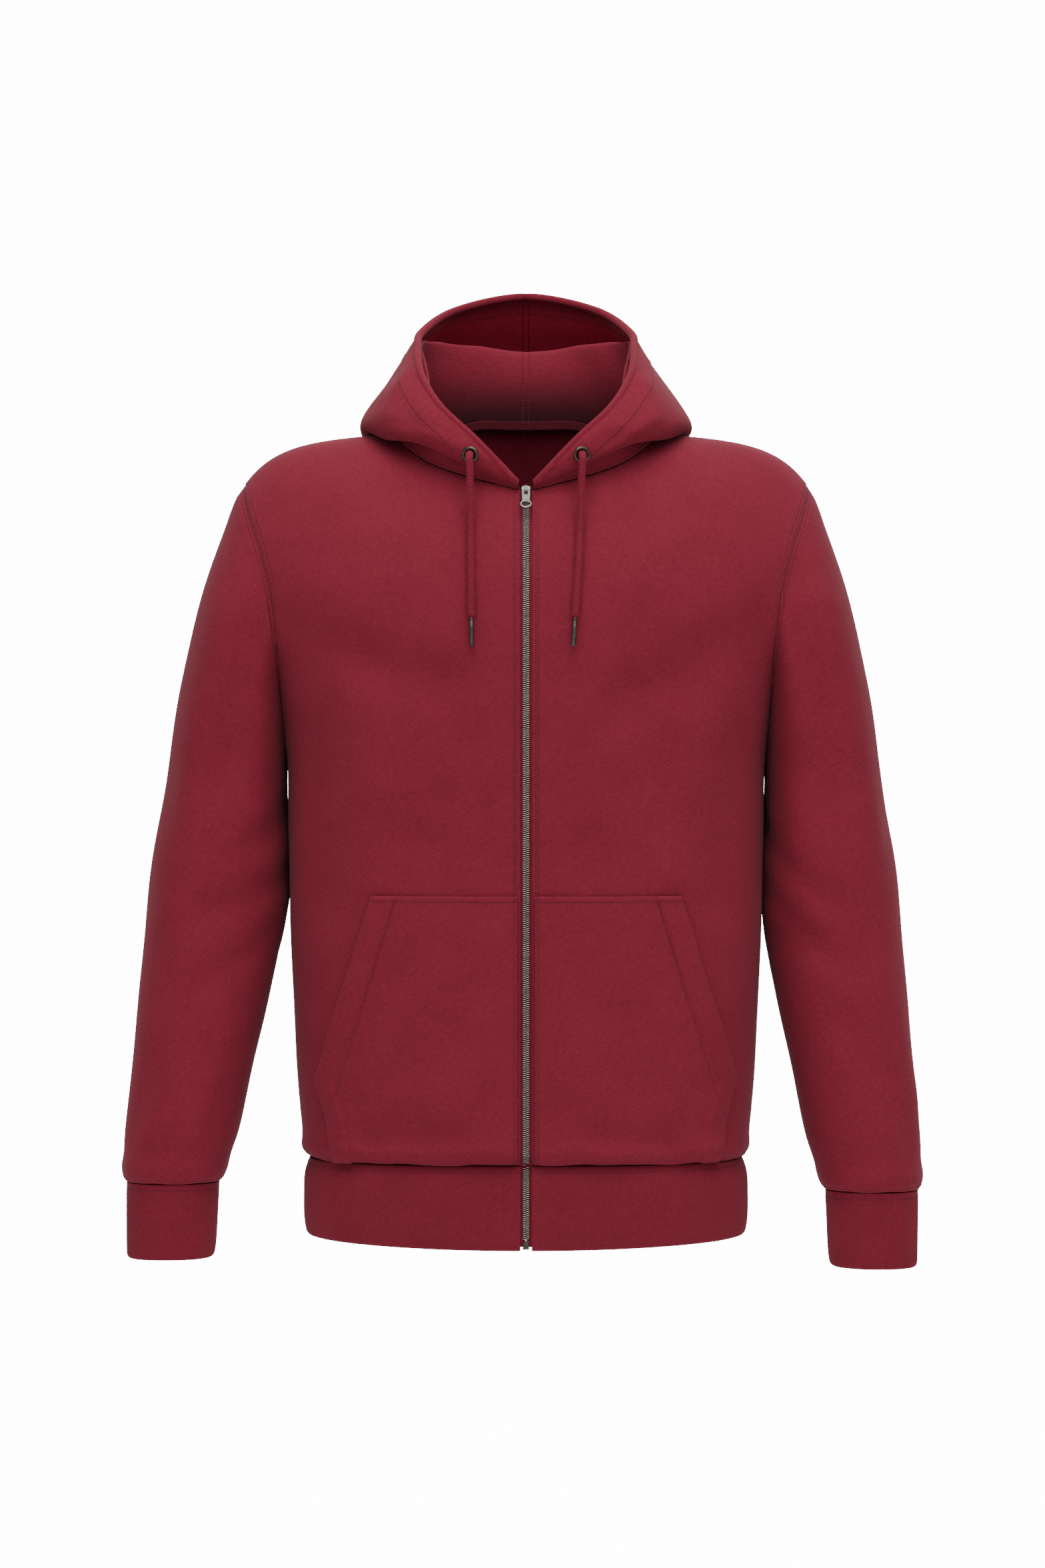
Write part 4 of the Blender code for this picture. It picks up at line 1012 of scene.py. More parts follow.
SLEEVE_PRESS = {1: (0.0, 0.0016, 0.0024, 0.0023, 0.0034, 0.0035),
                -1: (0.0, 0.0030, 0.0056, 0.0057, 0.0064, 0.0063)}
WRIST_LEVEL = -0.638
WRIST_LEAN = 0.003
WRIST_DROP = 0.0035
HANG_LIMIT = 1.1
SLEEVE_ROWS = 170
SLEEVE_COLUMNS = 120
SLEEVE_CROWDING = 0.85
TOP_CROWDING = 0.94
PRESS_FADE = (0.001, 0.010)
CUFF_FREE = (0.012, 0.045)
ARMHOLE_FREE = (0.004, 0.040)
CUFF_PUFF = 0.8
CUFF_PUFF_WAVE = 0.5
CUFF_SWING = 0.6


def armhole_ring(count):
    """Armhole as a loop of evenly spaced points: shoulder, down the back, up the front."""
    rows = np.linspace(1.0, ARMPIT_ROW, 400)
    how_far, level = side_edge(rows)
    loop = np.concatenate([body_point(2 - how_far, level), body_point(how_far, level)[-2::-1]])
    run = run_lengths(loop, 0)
    return picked(np.linspace(0.0, run[-1], count, endpoint=False), run, loop)


def hang(points, sign):
    """One arm hangs a little lower and closer than the other, more so towards the wrist."""
    share = np.clip(points[..., 2:] / WRIST_LEVEL, 0, HANG_LIMIT)
    return points + sign * share * np.array([-WRIST_LEAN, 0.0, -WRIST_DROP])


def rings_at(rings, at):
    """A table's values at fractional rows, each as a column."""
    knots = np.arange(len(rings["outer_x"]))
    return {name: curve_through(knots, column, at)[:, None] for name, column in rings.items()}


def tube(rings, at, turn):
    """Superellipses from the outer to the inner points of a table, a row for each fractional row."""
    ring = rings_at(rings, at)
    out = signed_power(np.cos(turn), 2 / SLEEVE_SQUARENESS)[None, :]
    deep = signed_power(np.sin(turn), 2 / SLEEVE_SQUARENESS)[None, :]
    across = (ring["outer_x"] + ring["inner_x"]) / 2 + (ring["outer_x"] - ring["inner_x"]) / 2 * out
    height = (ring["outer_z"] + ring["inner_z"]) / 2 + (ring["outer_z"] - ring["inner_z"]) / 2 * out
    return np.stack([across, ring["middle_y"] + ring["half_depth"] * deep, height], axis=-1)


def sleeve_head(rings, at, turn, loop):
    """The tube, whose first rings have the armhole's own shape and ease from it into the plain ones."""
    ring = rings_at(rings, at)
    flat = loop[:, [0, 2]]
    middle = (flat[0] + flat[len(loop) // 2]) / 2
    half = (flat[0] - flat[len(loop) // 2]) / 2
    along = (flat - middle) @ half / (half @ half)
    aside = flat - middle - along[:, None] * half
    deep = loop[:, 1] / rings["half_depth"][0]
    across = (ring["outer_x"] + ring["inner_x"] + along * (ring["outer_x"] - ring["inner_x"])) / 2
    height = (ring["outer_z"] + ring["inner_z"] + along * (ring["outer_z"] - ring["inner_z"])) / 2
    shaped = np.stack([across + aside[:, 0], ring["middle_y"] + deep * ring["half_depth"],
                       height + aside[:, 1]], axis=-1)
    share = (1 - smooth_step(at, 0.0, HEAD_RINGS))[:, None, None]
    return shaped * share + tube(rings, at, turn) * (1 - share)


turns = np.linspace(0, 2 * math.pi, SLEEVE_COLUMNS, endpoint=False)
NOMINAL_GIRTH = 0.46
around_front = NOMINAL_GIRTH * (1 - turns / (2 * math.pi))[None, :]
print("armhole is", round(float(run_lengths(armhole_ring(200)[None], 1).max()), 3), "m round")

# %% Sleeve creases and cloth
SLEEVE_WAVES = ((0.210, 0.0008, 0.5), (0.118, 0.0005, 2.0))
CUFF_WAVES = ((2 * math.pi / 5, 0.6, 0.8), (2 * math.pi / 9, 0.4, 1.1))
SLEEVE_CREASES = {
    1: ((0.110, -0.120, 0.118, -0.320, 0.020, -0.0030), (0.072, -0.150, 0.060, -0.420, 0.022, 0.0024),
        (0.215, -0.335, 0.120, -0.392, 0.014, -0.0034), (0.205, -0.385, 0.135, -0.430, 0.013, -0.0030),
        (0.195, -0.425, 0.100, -0.450, 0.013, -0.0022), (0.160, -0.300, 0.150, -0.360, 0.016, 0.0018),
        (0.030, -0.330, 0.080, -0.420, 0.022, -0.0018), (0.120, -0.500, 0.060, -0.600, 0.018, -0.0026),
        (0.070, -0.470, 0.030, -0.560, 0.020, 0.0018), (0.300, -0.180, 0.290, -0.330, 0.022, -0.0034),
        (0.270, -0.370, 0.330, -0.400, 0.014, -0.0036), (0.265, -0.420, 0.325, -0.440, 0.013, -0.0030),
        (0.270, -0.470, 0.310, -0.510, 0.016, -0.0024), (0.340, -0.250, 0.335, -0.420, 0.020, 0.0020)),
    -1: ((0.118, -0.130, 0.112, -0.300, 0.018, -0.0036), (0.078, -0.160, 0.070, -0.400, 0.022, 0.0022),
         (0.212, -0.320, 0.150, -0.350, 0.015, -0.0032), (0.210, -0.375, 0.110, -0.405, 0.015, -0.0038),
         (0.195, -0.420, 0.120, -0.465, 0.014, -0.0026), (0.150, -0.250, 0.160, -0.320, 0.018, 0.0020),
         (0.040, -0.300, 0.090, -0.380, 0.022, -0.0016), (0.110, -0.480, 0.050, -0.590, 0.020, -0.0024),
         (0.150, -0.520, 0.130, -0.600, 0.014, 0.0016), (0.295, -0.170, 0.300, -0.320, 0.022, -0.0036),
         (0.268, -0.350, 0.340, -0.385, 0.015, -0.0034), (0.262, -0.405, 0.330, -0.430, 0.014, -0.0032),
         (0.275, -0.460, 0.320, -0.495, 0.016, -0.0022), (0.350, -0.260, 0.345, -0.400, 0.020, 0.0018)),
}


def sleeve_grid(sign):
    """Sleeve from cuff to armhole: the tube, its last rows leading on to the armhole's ring."""
    last = len(SLEEVE_RINGS["outer_x"]) - 1
    rows = last * (1 - eased(SLEEVE_ROWS, SLEEVE_CROWDING)) ** TOP_CROWDING
    loop = armhole_ring(SLEEVE_COLUMNS)
    points = hang(sleeve_head(SLEEVE_RINGS, rows, turns, loop), sign)
    loop = loop - np.array([SLEEVE_LAP, 0.0, 0.0])
    lead = np.linspace(1.0, 0.0, LEAD_ROWS)[1:, None, None]
    points = np.concatenate([points, loop + (points[-1] - loop) * lead])
    from_cuff = run_lengths(points, 0)
    from_armhole = from_cuff[-1:] - from_cuff
    pressed = smooth_step(from_armhole, *PRESS_FADE) * ((1 - np.cos(turns)) / 2)[None, :] ** 2
    points[..., 0] -= np.interp(points[..., 2], PRESS_LEVEL, SLEEVE_PRESS[sign]) * pressed
    free = smooth_step(from_cuff, *CUFF_FREE) * smooth_step(from_armhole, *ARMHOLE_FREE)
    wave = ripple(turns[None, :], CUFF_WAVES)
    out = free * (creases(around_front, points[..., 2], SLEEVE_CREASES[sign])
                  + ripple(points[..., 2], SLEEVE_WAVES))
    out = out + PUFF * CUFF_PUFF * (1 + CUFF_PUFF_WAVE * wave) * bell(from_cuff - PUFF_CENTRE, PUFF_WIDTH)
    out = out + tucked(from_cuff, from_armhole)
    points = points + out[..., None] * grid_normals(points, True)
    points[..., 2] += HEM_SWING * CUFF_SWING * wave * bell(from_cuff, HEM_FADE)
    inward = unit(points[-1].mean(axis=0) - points[-1])
    return with_allowance(points, {"hem_edge": from_cuff, "armhole_edge": from_armhole}, inward, RIGHTWARD)


for sign, side in SIDES.items():
    cloth("cloth_sleeve_" + side, *for_side(sign, *sleeve_grid(sign)), fleece, FLEECE,
          ["sleeve_" + side], "fleece", "hung", closed=True)

# %% [markdown]
# The cuffs and the waistband are rib knit: wales stand out like cords and the cloth
# between them sinks, which is what lets them stretch. The wales are about 2.2 mm apart,
# and are raised in the mesh itself, so that they keep their shape from every side. At
# the lower edge the rib is folded, so its corner is round and the ribs run over it.

# %% Rib knit
RIB_PITCH = 0.0022
RIB_ROW = 0.0052
RIB_HEIGHT = 0.00035
POINTS_PER_RIB = 4
RIB_LIGHT = (0.262, 0.0185, 0.0410)
RIB_DARK = (0.205, 0.0130, 0.0290)
rib = cloth_finish("rib", RIB_DARK, RIB_LIGHT, stroke=0.30, pebble=0.8, depth=0.00022,
                   rows=(("band_edge", RIB_ROW, NO_ROW),))
CUFF_ROWS = 20
CUFF_GIRTH = math.pi * (0.0404 + 0.0450) * 1.04
FOLD_RADIUS = 0.004
FOLD_SHARE = 0.8
RIB_FLATNESS = 0.7
CUFF_RIB_FADE = (0.004, 0.009)


def ribs(columns):
    """Height of the wales along a row: a cosine, flatter on top, one wave for each rib."""
    turn = np.arange(columns) * 2 * np.pi / POINTS_PER_RIB
    return RIB_HEIGHT * (np.cos(turn) * 0.5 + 0.5) ** RIB_FLATNESS


def ribbed(from_foot, from_top, fade):
    """How far a rib's face stands out: its wales, and the quarter circle it turns in at the fold."""
    raised = ribs(from_top.shape[1])[None, :] * smooth_step(from_top, *fade)
    share = np.clip(1 - from_foot / FOLD_RADIUS, 0.0, 1.0)
    return raised + -FOLD_RADIUS * (1 - np.sqrt(1 - share ** 2)) * FOLD_SHARE


def cuff_grid(sign):
    """Cuff from its fold up to the sleeve, with ribs, and drawn in where it is sewn."""
    columns = round(CUFF_GIRTH / RIB_PITCH) * POINTS_PER_RIB
    at = (len(CUFF_LEVELS) - 1) * (1 - eased(CUFF_ROWS, EDGE_CROWDING))
    points = hang(tube(CUFF_RINGS, at, np.linspace(0, 2 * math.pi, columns, endpoint=False)), sign)
    from_foot = run_lengths(points, 0)
    from_top = from_foot[-1:] - from_foot
    normal = grid_normals(points, True)
    points = points + ribbed(from_foot, from_top, CUFF_RIB_FADE)[..., None] * normal
    return with_allowance(points, {"band_edge": from_top}, -normal[-1], UP)


for sign, side in SIDES.items():
    cloth("cloth_cuff_" + side, *for_side(sign, *cuff_grid(sign)), rib, RIB,
          ["cuff_" + side], "rib", "stretched", closed=True)

# %% Waistband
BAND_ROWS = 16
BAND_GIRTH = 1.060
SIDE_RISE = 0.0035
CENTRE_DIP = 0.0020
BAND_RIB_FADE = (0.005, 0.010)


def band_grid():
    """Waistband round the body from front edge to front edge, with ribs."""
    columns = round(BAND_GIRTH / RIB_PITCH) * POINTS_PER_RIB + 1
    level = BAND_BOTTOM + (BAND_RINGS["level"][-1] - BAND_BOTTOM) * eased(BAND_ROWS, EDGE_CROWDING)
    first = round_at(FRONT_EDGE, HEM_LEVEL)
    how_far = np.linspace(first, 4 - first, columns)
    half = np.minimum(how_far, 4 - how_far)
    half, level = np.broadcast_arrays(half[None, :], level[:, None])
    points = ring_point(BAND_RINGS, half, level)
    points[..., 0] *= np.where(how_far > 2, -1.0, 1.0)
    points[:, 0, 0] = FRONT_EDGE
    points[:, -1, 0] = -FRONT_EDGE
    to_foot = (level - level[-1:]) / (level[:1] - level[-1:])
    points[..., 2] += to_foot * (SIDE_RISE - (SIDE_RISE + CENTRE_DIP) * (1 + np.cos(math.pi * half)) / 2)
    from_start, from_end, from_foot, from_top = edge_distances(points)
    out = ribbed(from_foot, from_top, BAND_RIB_FADE) + tucked(from_start, from_end)
    normal = grid_normals(points)
    return with_allowance(points + out[..., None] * normal, {"band_edge": from_top}, -normal[-1], UP)


cloth("cloth_waistband", *band_grid(), rib, RIB, ["waistband"], "rib", "stretched")

# %% [markdown]
# ## Hood
# The hood is two halves sewn along the middle. Dropped on the back it stands up from the
# neck seam, turns over and falls, lies on the shoulders in a fat roll, and comes up again
# to the brim. Seven curves round the neck, from the centre back to the zip, say where it
# is at each of those places, and a curve through the seven gives every line of the cloth.
# The brim is hemmed: the cloth is doubled there and its edge is a round roll.

# %% Hood form
HOOD_STATIONS = (0.0, 0.17, 0.34, 0.50, 0.62, 0.74, 0.87, 1.0)
HOOD_PATH = (0.0, 0.14, 0.34, 0.50, 0.69, 0.84, 1.0)
HOOD_CREST = (
    (0.0, 0.078, 0.0790), (0.047, 0.070, 0.0835), (0.0810, 0.044, 0.0830),
    (0.0905, 0.006, 0.0750), (0.0835, -0.034, 0.0430), (0.0805, -0.074, -0.0060),
    (0.0500, -0.0880, -0.0265), (0.0063, -0.0943, -0.0492),
)
HOOD_DOWN = (
    (0.0, 0.108, -0.020), (0.055, 0.100, -0.015), (0.0980, 0.058, 0.018),
    (0.1080, 0.010, 0.030), (0.0990, -0.042, 0.014), (0.0840, -0.0790, -0.0095),
    (0.0522, -0.0920, -0.0280), (0.0063, -0.0947, -0.0482),
)
HOOD_LOW = (
    (0.0, 0.150, -0.088), (0.068, 0.138, -0.080), (0.1180, 0.078, -0.016),
    (0.1280, 0.006, 0.0045), (0.1150, -0.050, -0.005), (0.0890, -0.0845, -0.0120),
    (0.0545, -0.0955, -0.0265), (0.0063, -0.0951, -0.0474),
)
HOOD_ROLL = (
    (0.0, 0.190, 0.000), (0.086, 0.166, 0.000), (0.1330, 0.085, 0.010),
    (0.1400, 0.004, 0.0140), (0.1265, -0.050, 0.010), (0.0960, -0.0860, -0.0010),
    (0.0560, -0.0985, -0.0205), (0.0064, -0.0955, -0.0464),
)
HOOD_WALL = (
    (0.0, 0.168, 0.075), (0.082, 0.138, 0.072), (0.1080, 0.070, 0.062),
    (0.1160, -0.002, 0.0480), (0.1080, -0.050, 0.035), (0.0850, -0.0860, 0.0120),
    (0.0495, -0.0990, -0.0135), (0.0065, -0.0955, -0.0450),
)
HOOD_BRIM = (
    (0.0, 0.108, 0.1335), (0.058, 0.088, 0.1200), (0.0880, 0.030, 0.0950),
    (0.0905, -0.010, 0.0770), (0.0855, -0.054, 0.0490), (0.0695, -0.0820, 0.0205),
    (0.0400, -0.0945, -0.0085), (0.0066, -0.0950, -0.0435),
)
HOOD_ROWS = 96
HOOD_COLUMNS = 191
BRIM_ROLL = 0.0070
BRIM_HEM = 0.0034
BRIM_ROLL_WIDTH = 0.0062
BRIM_HEM_WIDTH = 0.0250
BRIM_ROW = 0.0235
BRIM_ROW_END = 0.885
NECK_ALLOWANCE_IN = 0.0028
NECK_ALLOWANCE = 0.0080
NECK_ALLOWANCE_WALL = 0.0011
HOOD_SEAM_ROW = 0.0028
HOOD_CROWDING = 1.15
THINNEST_WALL = 0.0004
NECK_PULL = 0.08


def neck_ring(station):
    """Point of the neck seam at a station: 0 centre back, 1 the zip, below 0 the wearer's right."""
    share = np.abs(station)
    back_round, back_level = neck_edge(NECK_BACK, np.clip(share * 2, 0, 1))
    front_round, front_level = neck_edge(NECK_FRONT, np.clip(2 - share * 2, 0, 1))
    behind = share < 0.5
    how_far = np.where(behind, 2 - back_round, front_round)
    points = body_point(how_far, np.where(behind, back_level, front_level))
    points[..., 0] *= np.where(station < 0, -1.0, 1.0)
    return points


def both_halves(line):
    """A row of controls and its mirror image, from the wearer's right front to the left."""
    line = np.array(line)
    return np.concatenate([line[:0:-1] * OTHER_SIDE, line])


def hood_middle(stations, path):
    """Middle of the hood's cloth: a curve round through each line, then one up through the seven."""
    knots = both_halves([(station, 0.0, 0.0) for station in HOOD_STATIONS])[:, 0]
    neck = neck_ring(np.array(HOOD_STATIONS)) + UP * (SEAM_GAP + FLEECE / 2)
    neck[-1, 0] = FRONT_EDGE + FLEECE / 2
    lines = (neck, HOOD_CREST, HOOD_DOWN, HOOD_LOW, HOOD_ROLL, HOOD_WALL, HOOD_BRIM)
    controls = np.array([both_halves(line) for line in lines])
    along = curve_through(knots, controls.transpose(1, 0, 2), stations)
    points = curve_through(HOOD_PATH, along.transpose(1, 0, 2), path)
    seam = neck_ring(stations) + UP * (SEAM_GAP + FLEECE / 2)
    seam[[0, -1], 0] = points[0, [0, -1], 0]
    fade = np.clip(1 - path / NECK_PULL, 0.0, 1.0)[:, None, None] ** 2
    return points + fade * (seam - points[0])[None]


# %% Hood cloth
HOOD_CREASES = (
    (-0.58, 0.93, -0.66, 0.74, 0.035, -0.0022), (-0.74, 0.90, -0.78, 0.72, 0.030, -0.0018),
    (0.62, 0.92, 0.70, 0.73, 0.035, -0.0024), (0.80, 0.88, 0.76, 0.70, 0.028, -0.0016),
    (-0.36, 0.88, -0.42, 0.70, 0.040, 0.0020), (0.40, 0.90, 0.36, 0.72, 0.040, 0.0020),
    (-0.18, 0.80, -0.10, 0.60, 0.035, -0.0030), (0.14, 0.78, 0.22, 0.58, 0.035, -0.0030),
)
HOOD_WAVES = ((0.31, 0.0004, 0.4), (0.17, 0.0002, 1.9))
CENTRE_SEAM_DIP = 0.0010
CENTRE_SEAM_WIDTH = 0.0022
# Painted shade and painted light on the lining: how much darker the collar is towards the neck, and how much
# paler the inside of the brim is.
COLLAR_PAINTED_SHADE = 0.86
BRIM_PAINTED_LIGHT = 1.80
HEM_STEP = 0.001
COLLAR_FADE = (0.004, 0.090)
COLLAR_SIDES = (0.50, 0.68)
BRIM_FADE = (0.52, 0.72)
BRIM_SIDES = (0.50, 0.80)
BRIM_EDGE_FADE = (0.006, 0.030)
SEAM_FREE = (0.004, 0.030)
BRIM_FREE = (0.002, 0.020)


def painted_lining_shade(stations, path, from_brim):
    """Painted shade and painted light of the lining: darker down the collar towards the neck, paler inside
    the brim.
    """
    sides = np.abs(stations)[None, :]
    # collar is painted shade down to the neck; brim is painted light inside the brim.
    collar = (smooth_step(path, *COLLAR_FADE)[:, None] - 1) * (1 - smooth_step(sides, *COLLAR_SIDES))
    brim = (smooth_step(path, *BRIM_FADE)[:, None] * (1 - smooth_step(sides, *BRIM_SIDES))
            * smooth_step(from_brim, *BRIM_EDGE_FADE))
    return 1 + COLLAR_PAINTED_SHADE * collar + BRIM_PAINTED_LIGHT * brim


def hem_wall(from_edge, wall, width):
    """Thickness beside a hem: the doubled cloth's up to the hem's width, then one layer's."""
    doubled = smooth_step(-from_edge, -width - HEM_STEP, -width + HEM_STEP)
    return FLEECE + (wall - FLEECE) * doubled


def hood_grid():
    """Hood with its creases, its wall thickness, its edge distances and its lining's painted shade and
    light.
    """
    stations = signed_power(np.linspace(-1, 1, HOOD_COLUMNS), HOOD_CROWDING)
    path = eased(HOOD_ROWS, EDGE_CROWDING)
    middle = hood_middle(stations, path)
    from_right, from_left, from_neck, from_brim = edge_distances(middle)
    from_centre = np.abs(from_right - from_right[:, HOOD_COLUMNS // 2][:, None])
    from_front = np.minimum(from_right, from_left)
    free = (smooth_step(from_neck, *SEAM_FREE) * smooth_step(from_brim, *BRIM_FREE)
            * smooth_step(from_front, *SEAM_FREE))
    out = free * (creases(stations[None, :], path[:, None], HOOD_CREASES)
                  + ripple(stations[None, :] + path[:, None], HOOD_WAVES))
    middle = middle + out[..., None] * grid_normals(middle)
    roll = np.clip(from_brim / BRIM_ROLL_WIDTH, 0.0, 1.0)
    ball = BRIM_ROLL * np.sqrt(np.clip(1 - (2 * roll - 1) ** 2, 0.0, 1.0))
    hem = hem_wall(from_brim, BRIM_HEM, BRIM_HEM_WIDTH)
    rolled = np.maximum(ball, np.where(roll > 0.5, hem, THINNEST_WALL))
    wall = np.where(from_brim < BRIM_ROLL_WIDTH, rolled, hem)
    wall = wall - CENTRE_SEAM_DIP * bell(from_centre, CENTRE_SEAM_WIDTH)
    turned = middle[0] + NECK_ALLOWANCE_IN * unit(middle[0] * INWARD)
    middle = np.concatenate([[turned - UP * NECK_ALLOWANCE, turned], middle])
    thin = np.full((2, HOOD_COLUMNS), NECK_ALLOWANCE_WALL)
    wall = np.concatenate([thin, np.maximum(wall, THINNEST_WALL)])
    edges = {
        "brim_edge": np.where(np.abs(stations)[None, :] < BRIM_ROW_END, from_brim, FAR),
        "centre_seam": from_centre,
        "neck_edge": from_neck,
        "shade": painted_lining_shade(stations, path, from_brim),
    }
    edges = {label: np.concatenate([value[:1], value[:1], value]) for label, value in edges.items()}
    lining = edges.pop("shade")
    return middle, wall, edges, lining


hood_cloth = cloth_finish(
    "hood_fleece", *FLEECE_LOOK,
    rows=(("brim_edge", BRIM_ROW, NO_ROW), ("centre_seam", HOOD_SEAM_ROW, NO_ROW),
          ("neck_edge", *NECK_ROWS)),
    painted_shading="shade")
middle, wall, edges, lining = hood_grid()
hood = thick_cloth("cloth_hood", middle, wall, edges, hood_cloth, ["hood_left", "hood_right"],
                   "folded")
# The lining's face, the first, takes the painted shade and light; the outer face stays at 1.
write_edges(hood.data, {"shade": np.stack([lining, np.ones(lining.shape)])})

# %% [markdown]
# ## Pockets
# Each pocket is one piece of fleece laid on the front. Its slanted hand opening has a hem
# 20 mm wide, which stands a little off the body; the top is turned under and sewn down, and
# the inner edge and the foot run into the zip's and the waistband's seams.

# %% Pockets
POCKET_INNER_X = 0.0072
POCKET_LEVEL = (-0.6115, -0.5800, -0.5450, -0.4985, -0.4475, -0.3910)
POCKET_OUTER_X = (0.1600, 0.1665, 0.1750, 0.1602, 0.1444, 0.1280)
POCKET_ROWS = 100
POCKET_COLUMNS = 84
POCKET_LIFT = 0.0006
POCKET_HEM = 0.0036
POCKET_HEM_WIDTH = 0.0200
OPENING_LIFT = 0.0014
OPENING_FADE = 0.016
OPENING_FOOT = -0.545
OPENING_BELOW = 0.030
OPENING_ABOVE = 0.020
OPENING_WAVE = 0.4
OPENING_WAVE_TURN = 60
SIDE_ROW_ABOVE = 0.010
POCKET_CROWDING = 0.7
POCKET_CENTRE_FREE = (0.006, 0.030)
POCKET_TOP_FREE = (0.004, 0.030)
OPENING_TOP_FREE = (0.004, 0.025)
CENTRE_TUCK_REACH = 0.8
TOP_ROW = 0.0050
POCKET_SIDE_ROW = 0.0024
POCKET_CREASES = {
    1: ((0.055, -0.592, 0.115, -0.597, 0.0110, -0.0030), (0.050, -0.560, 0.120, -0.570, 0.020, 0.0014),
        (0.030, -0.420, 0.060, -0.540, 0.026, 0.0010), (0.148, -0.545, 0.120, -0.600, 0.010, -0.0014)),
    -1: ((0.060, -0.590, 0.125, -0.598, 0.0120, -0.0028), (0.060, -0.556, 0.125, -0.572, 0.022, 0.0016),
         (0.034, -0.430, 0.070, -0.545, 0.026, 0.0010), (0.150, -0.550, 0.128, -0.602, 0.010, -0.0012)),
}


def rounded_wall(wall, distance):
    """A wall that ends in a round: half its thickness in from the edge it is full."""
    reach = np.clip(distance / (wall / 2), 0.0, 1.0)
    return np.maximum(wall * np.sqrt(1 - (1 - reach) ** 2), THINNEST_WALL)


def pocket_grid(sign):
    """Pocket of the wearer's left, or the right's before it is mirrored."""
    level = np.interp(eased(POCKET_ROWS, POCKET_CROWDING), (0, 1), (POCKET_LEVEL[0], POCKET_LEVEL[-1]))
    level[np.argmin(np.abs(level - OPENING_FOOT))] = OPENING_FOOT
    outer = np.interp(level, POCKET_LEVEL, POCKET_OUTER_X)
    across = eased(POCKET_COLUMNS, EDGE_CROWDING)
    x = POCKET_INNER_X + across[None, :] * (outer - POCKET_INNER_X)[:, None]
    level = np.repeat(level[:, None], POCKET_COLUMNS, axis=1)
    body = moved_out(round_at(x, level), level, 0.0)
    from_outer, from_top = edge_distances(body)[1::2]
    from_hem = level - HEM_LEVEL
    from_centre = x - FRONT_EDGE
    normal = grid_normals(body)
    free = smooth_step(from_centre, *CENTRE_FREE) * smooth_step(from_hem, *HEM_FREE)
    puff, swing = hem_puff(body, from_hem, HEM_PHASE * sign)
    out = free * body_fall(x, level, FRONT_CREASES[sign]) + puff * smooth_step(from_centre, *PUFF_FREE)
    inside = smooth_step(from_centre, *POCKET_CENTRE_FREE) * smooth_step(from_top, *POCKET_TOP_FREE)
    out = out + inside * creases(x, level, POCKET_CREASES[sign])
    open_here = (smooth_step(level, OPENING_FOOT - OPENING_BELOW, OPENING_FOOT + OPENING_ABOVE)
                 * smooth_step(from_top, *OPENING_TOP_FREE))
    lift = OPENING_LIFT * (1 + OPENING_WAVE * np.sin(level * OPENING_WAVE_TURN + sign)) * open_here
    out = out + lift * bell(from_outer, OPENING_FADE)
    hem = hem_wall(from_outer, POCKET_HEM, POCKET_HEM_WIDTH)
    seam = tucked(from_centre * CENTRE_TUCK_REACH, from_hem)
    wall = rounded_wall(rounded_wall(hem, from_outer), from_top)
    middle = body + (out + seam + POCKET_LIFT + wall / 2)[..., None] * normal
    middle[..., 2] += swing * smooth_step(from_centre, *SWING_FREE)
    below = level < OPENING_FOOT + SIDE_ROW_ABOVE
    run_x = POCKET_OUTER_X[2] - POCKET_OUTER_X[-1]
    run_z = POCKET_LEVEL[-1] - OPENING_FOOT
    from_opening = (POCKET_OUTER_X[-1] - x) * run_z + (POCKET_LEVEL[-1] - level) * run_x
    from_opening = from_opening / math.hypot(run_x, run_z)
    edges = {
        "centre_edge": from_centre,
        "hem_edge": from_hem,
        "top_edge": from_top,
        "opening_edge": np.where(from_outer < POCKET_SIDE_ROW, FAR, from_opening),
        "side_edge": np.where(below, from_outer, FAR),
    }
    return middle, wall, edges


pocket_cloth = cloth_finish(
    "pocket_fleece", *FLEECE_LOOK,
    rows=(("centre_edge", *CENTRE_ROWS), ("hem_edge", *HEM_ROWS), ("top_edge", TOP_ROW, NO_ROW),
          ("opening_edge", POCKET_HEM_WIDTH, NO_ROW), ("side_edge", POCKET_SIDE_ROW, NO_ROW)))
for sign, side in SIDES.items():
    middle, wall, edges = pocket_grid(sign)
    middle, edges = for_side(sign, middle, {**edges, "wall": wall})
    wall = edges.pop("wall")
    thick_cloth("cloth_pocket_" + side, middle, wall, edges, pocket_cloth, ["pocket_" + side],
                "hung")

# %% [markdown]
# ## Zip
# Two woven tapes lie behind the front edges. Metal teeth grip them in turn from each side,
# and the closed chain ends in the retainer box. The slider stands at the top, where the
# front edges meet the hood, and its bail carries the pull tab, the one piece that moves.

# %% Zip line, tapes and teeth
CHAIN_RECESS = 0.0006
CHAIN_THICKNESS = 0.0024
CHAIN_TOP_LEVEL = -0.0520
CHAIN_FOOT_LEVEL = -0.6762
TAPE_TOP_LEVEL = -0.0505
TAPE_FOOT_LEVEL = -0.6825
TAPE_INNER_X = 0.0002
TAPE_OUTER_X = 0.0125
TAPE_THICKNESS = 0.0006
TAPE_DEPTH = 0.0024
TAPE_ROWS = 300
TAPE_COLUMNS = 9
BEHIND_BAND_LEVEL = -0.6070
BAND_STEP = 0.004
TOOTH_PITCH = 0.00175
TOOTH_SIDES = 6
TOOTH_PROFILE = ((-0.0028, 0.00030, 0.0010), (-0.0025, 0.00047, 0.0012), (-0.0001, 0.00042, 0.0011),
                 (0.0005, 0.00026, 0.0006))
TOOTH_TILT = 0.12
METAL_PATCH_SIZE = (0.004, 0.004, 0.004)
SCRATCH_SIZE = (0.0008, 0.0008, 0.0003)
SCRATCH_DEPTH = 0.00003
WEAR = 0.25
POLISH = 0.10


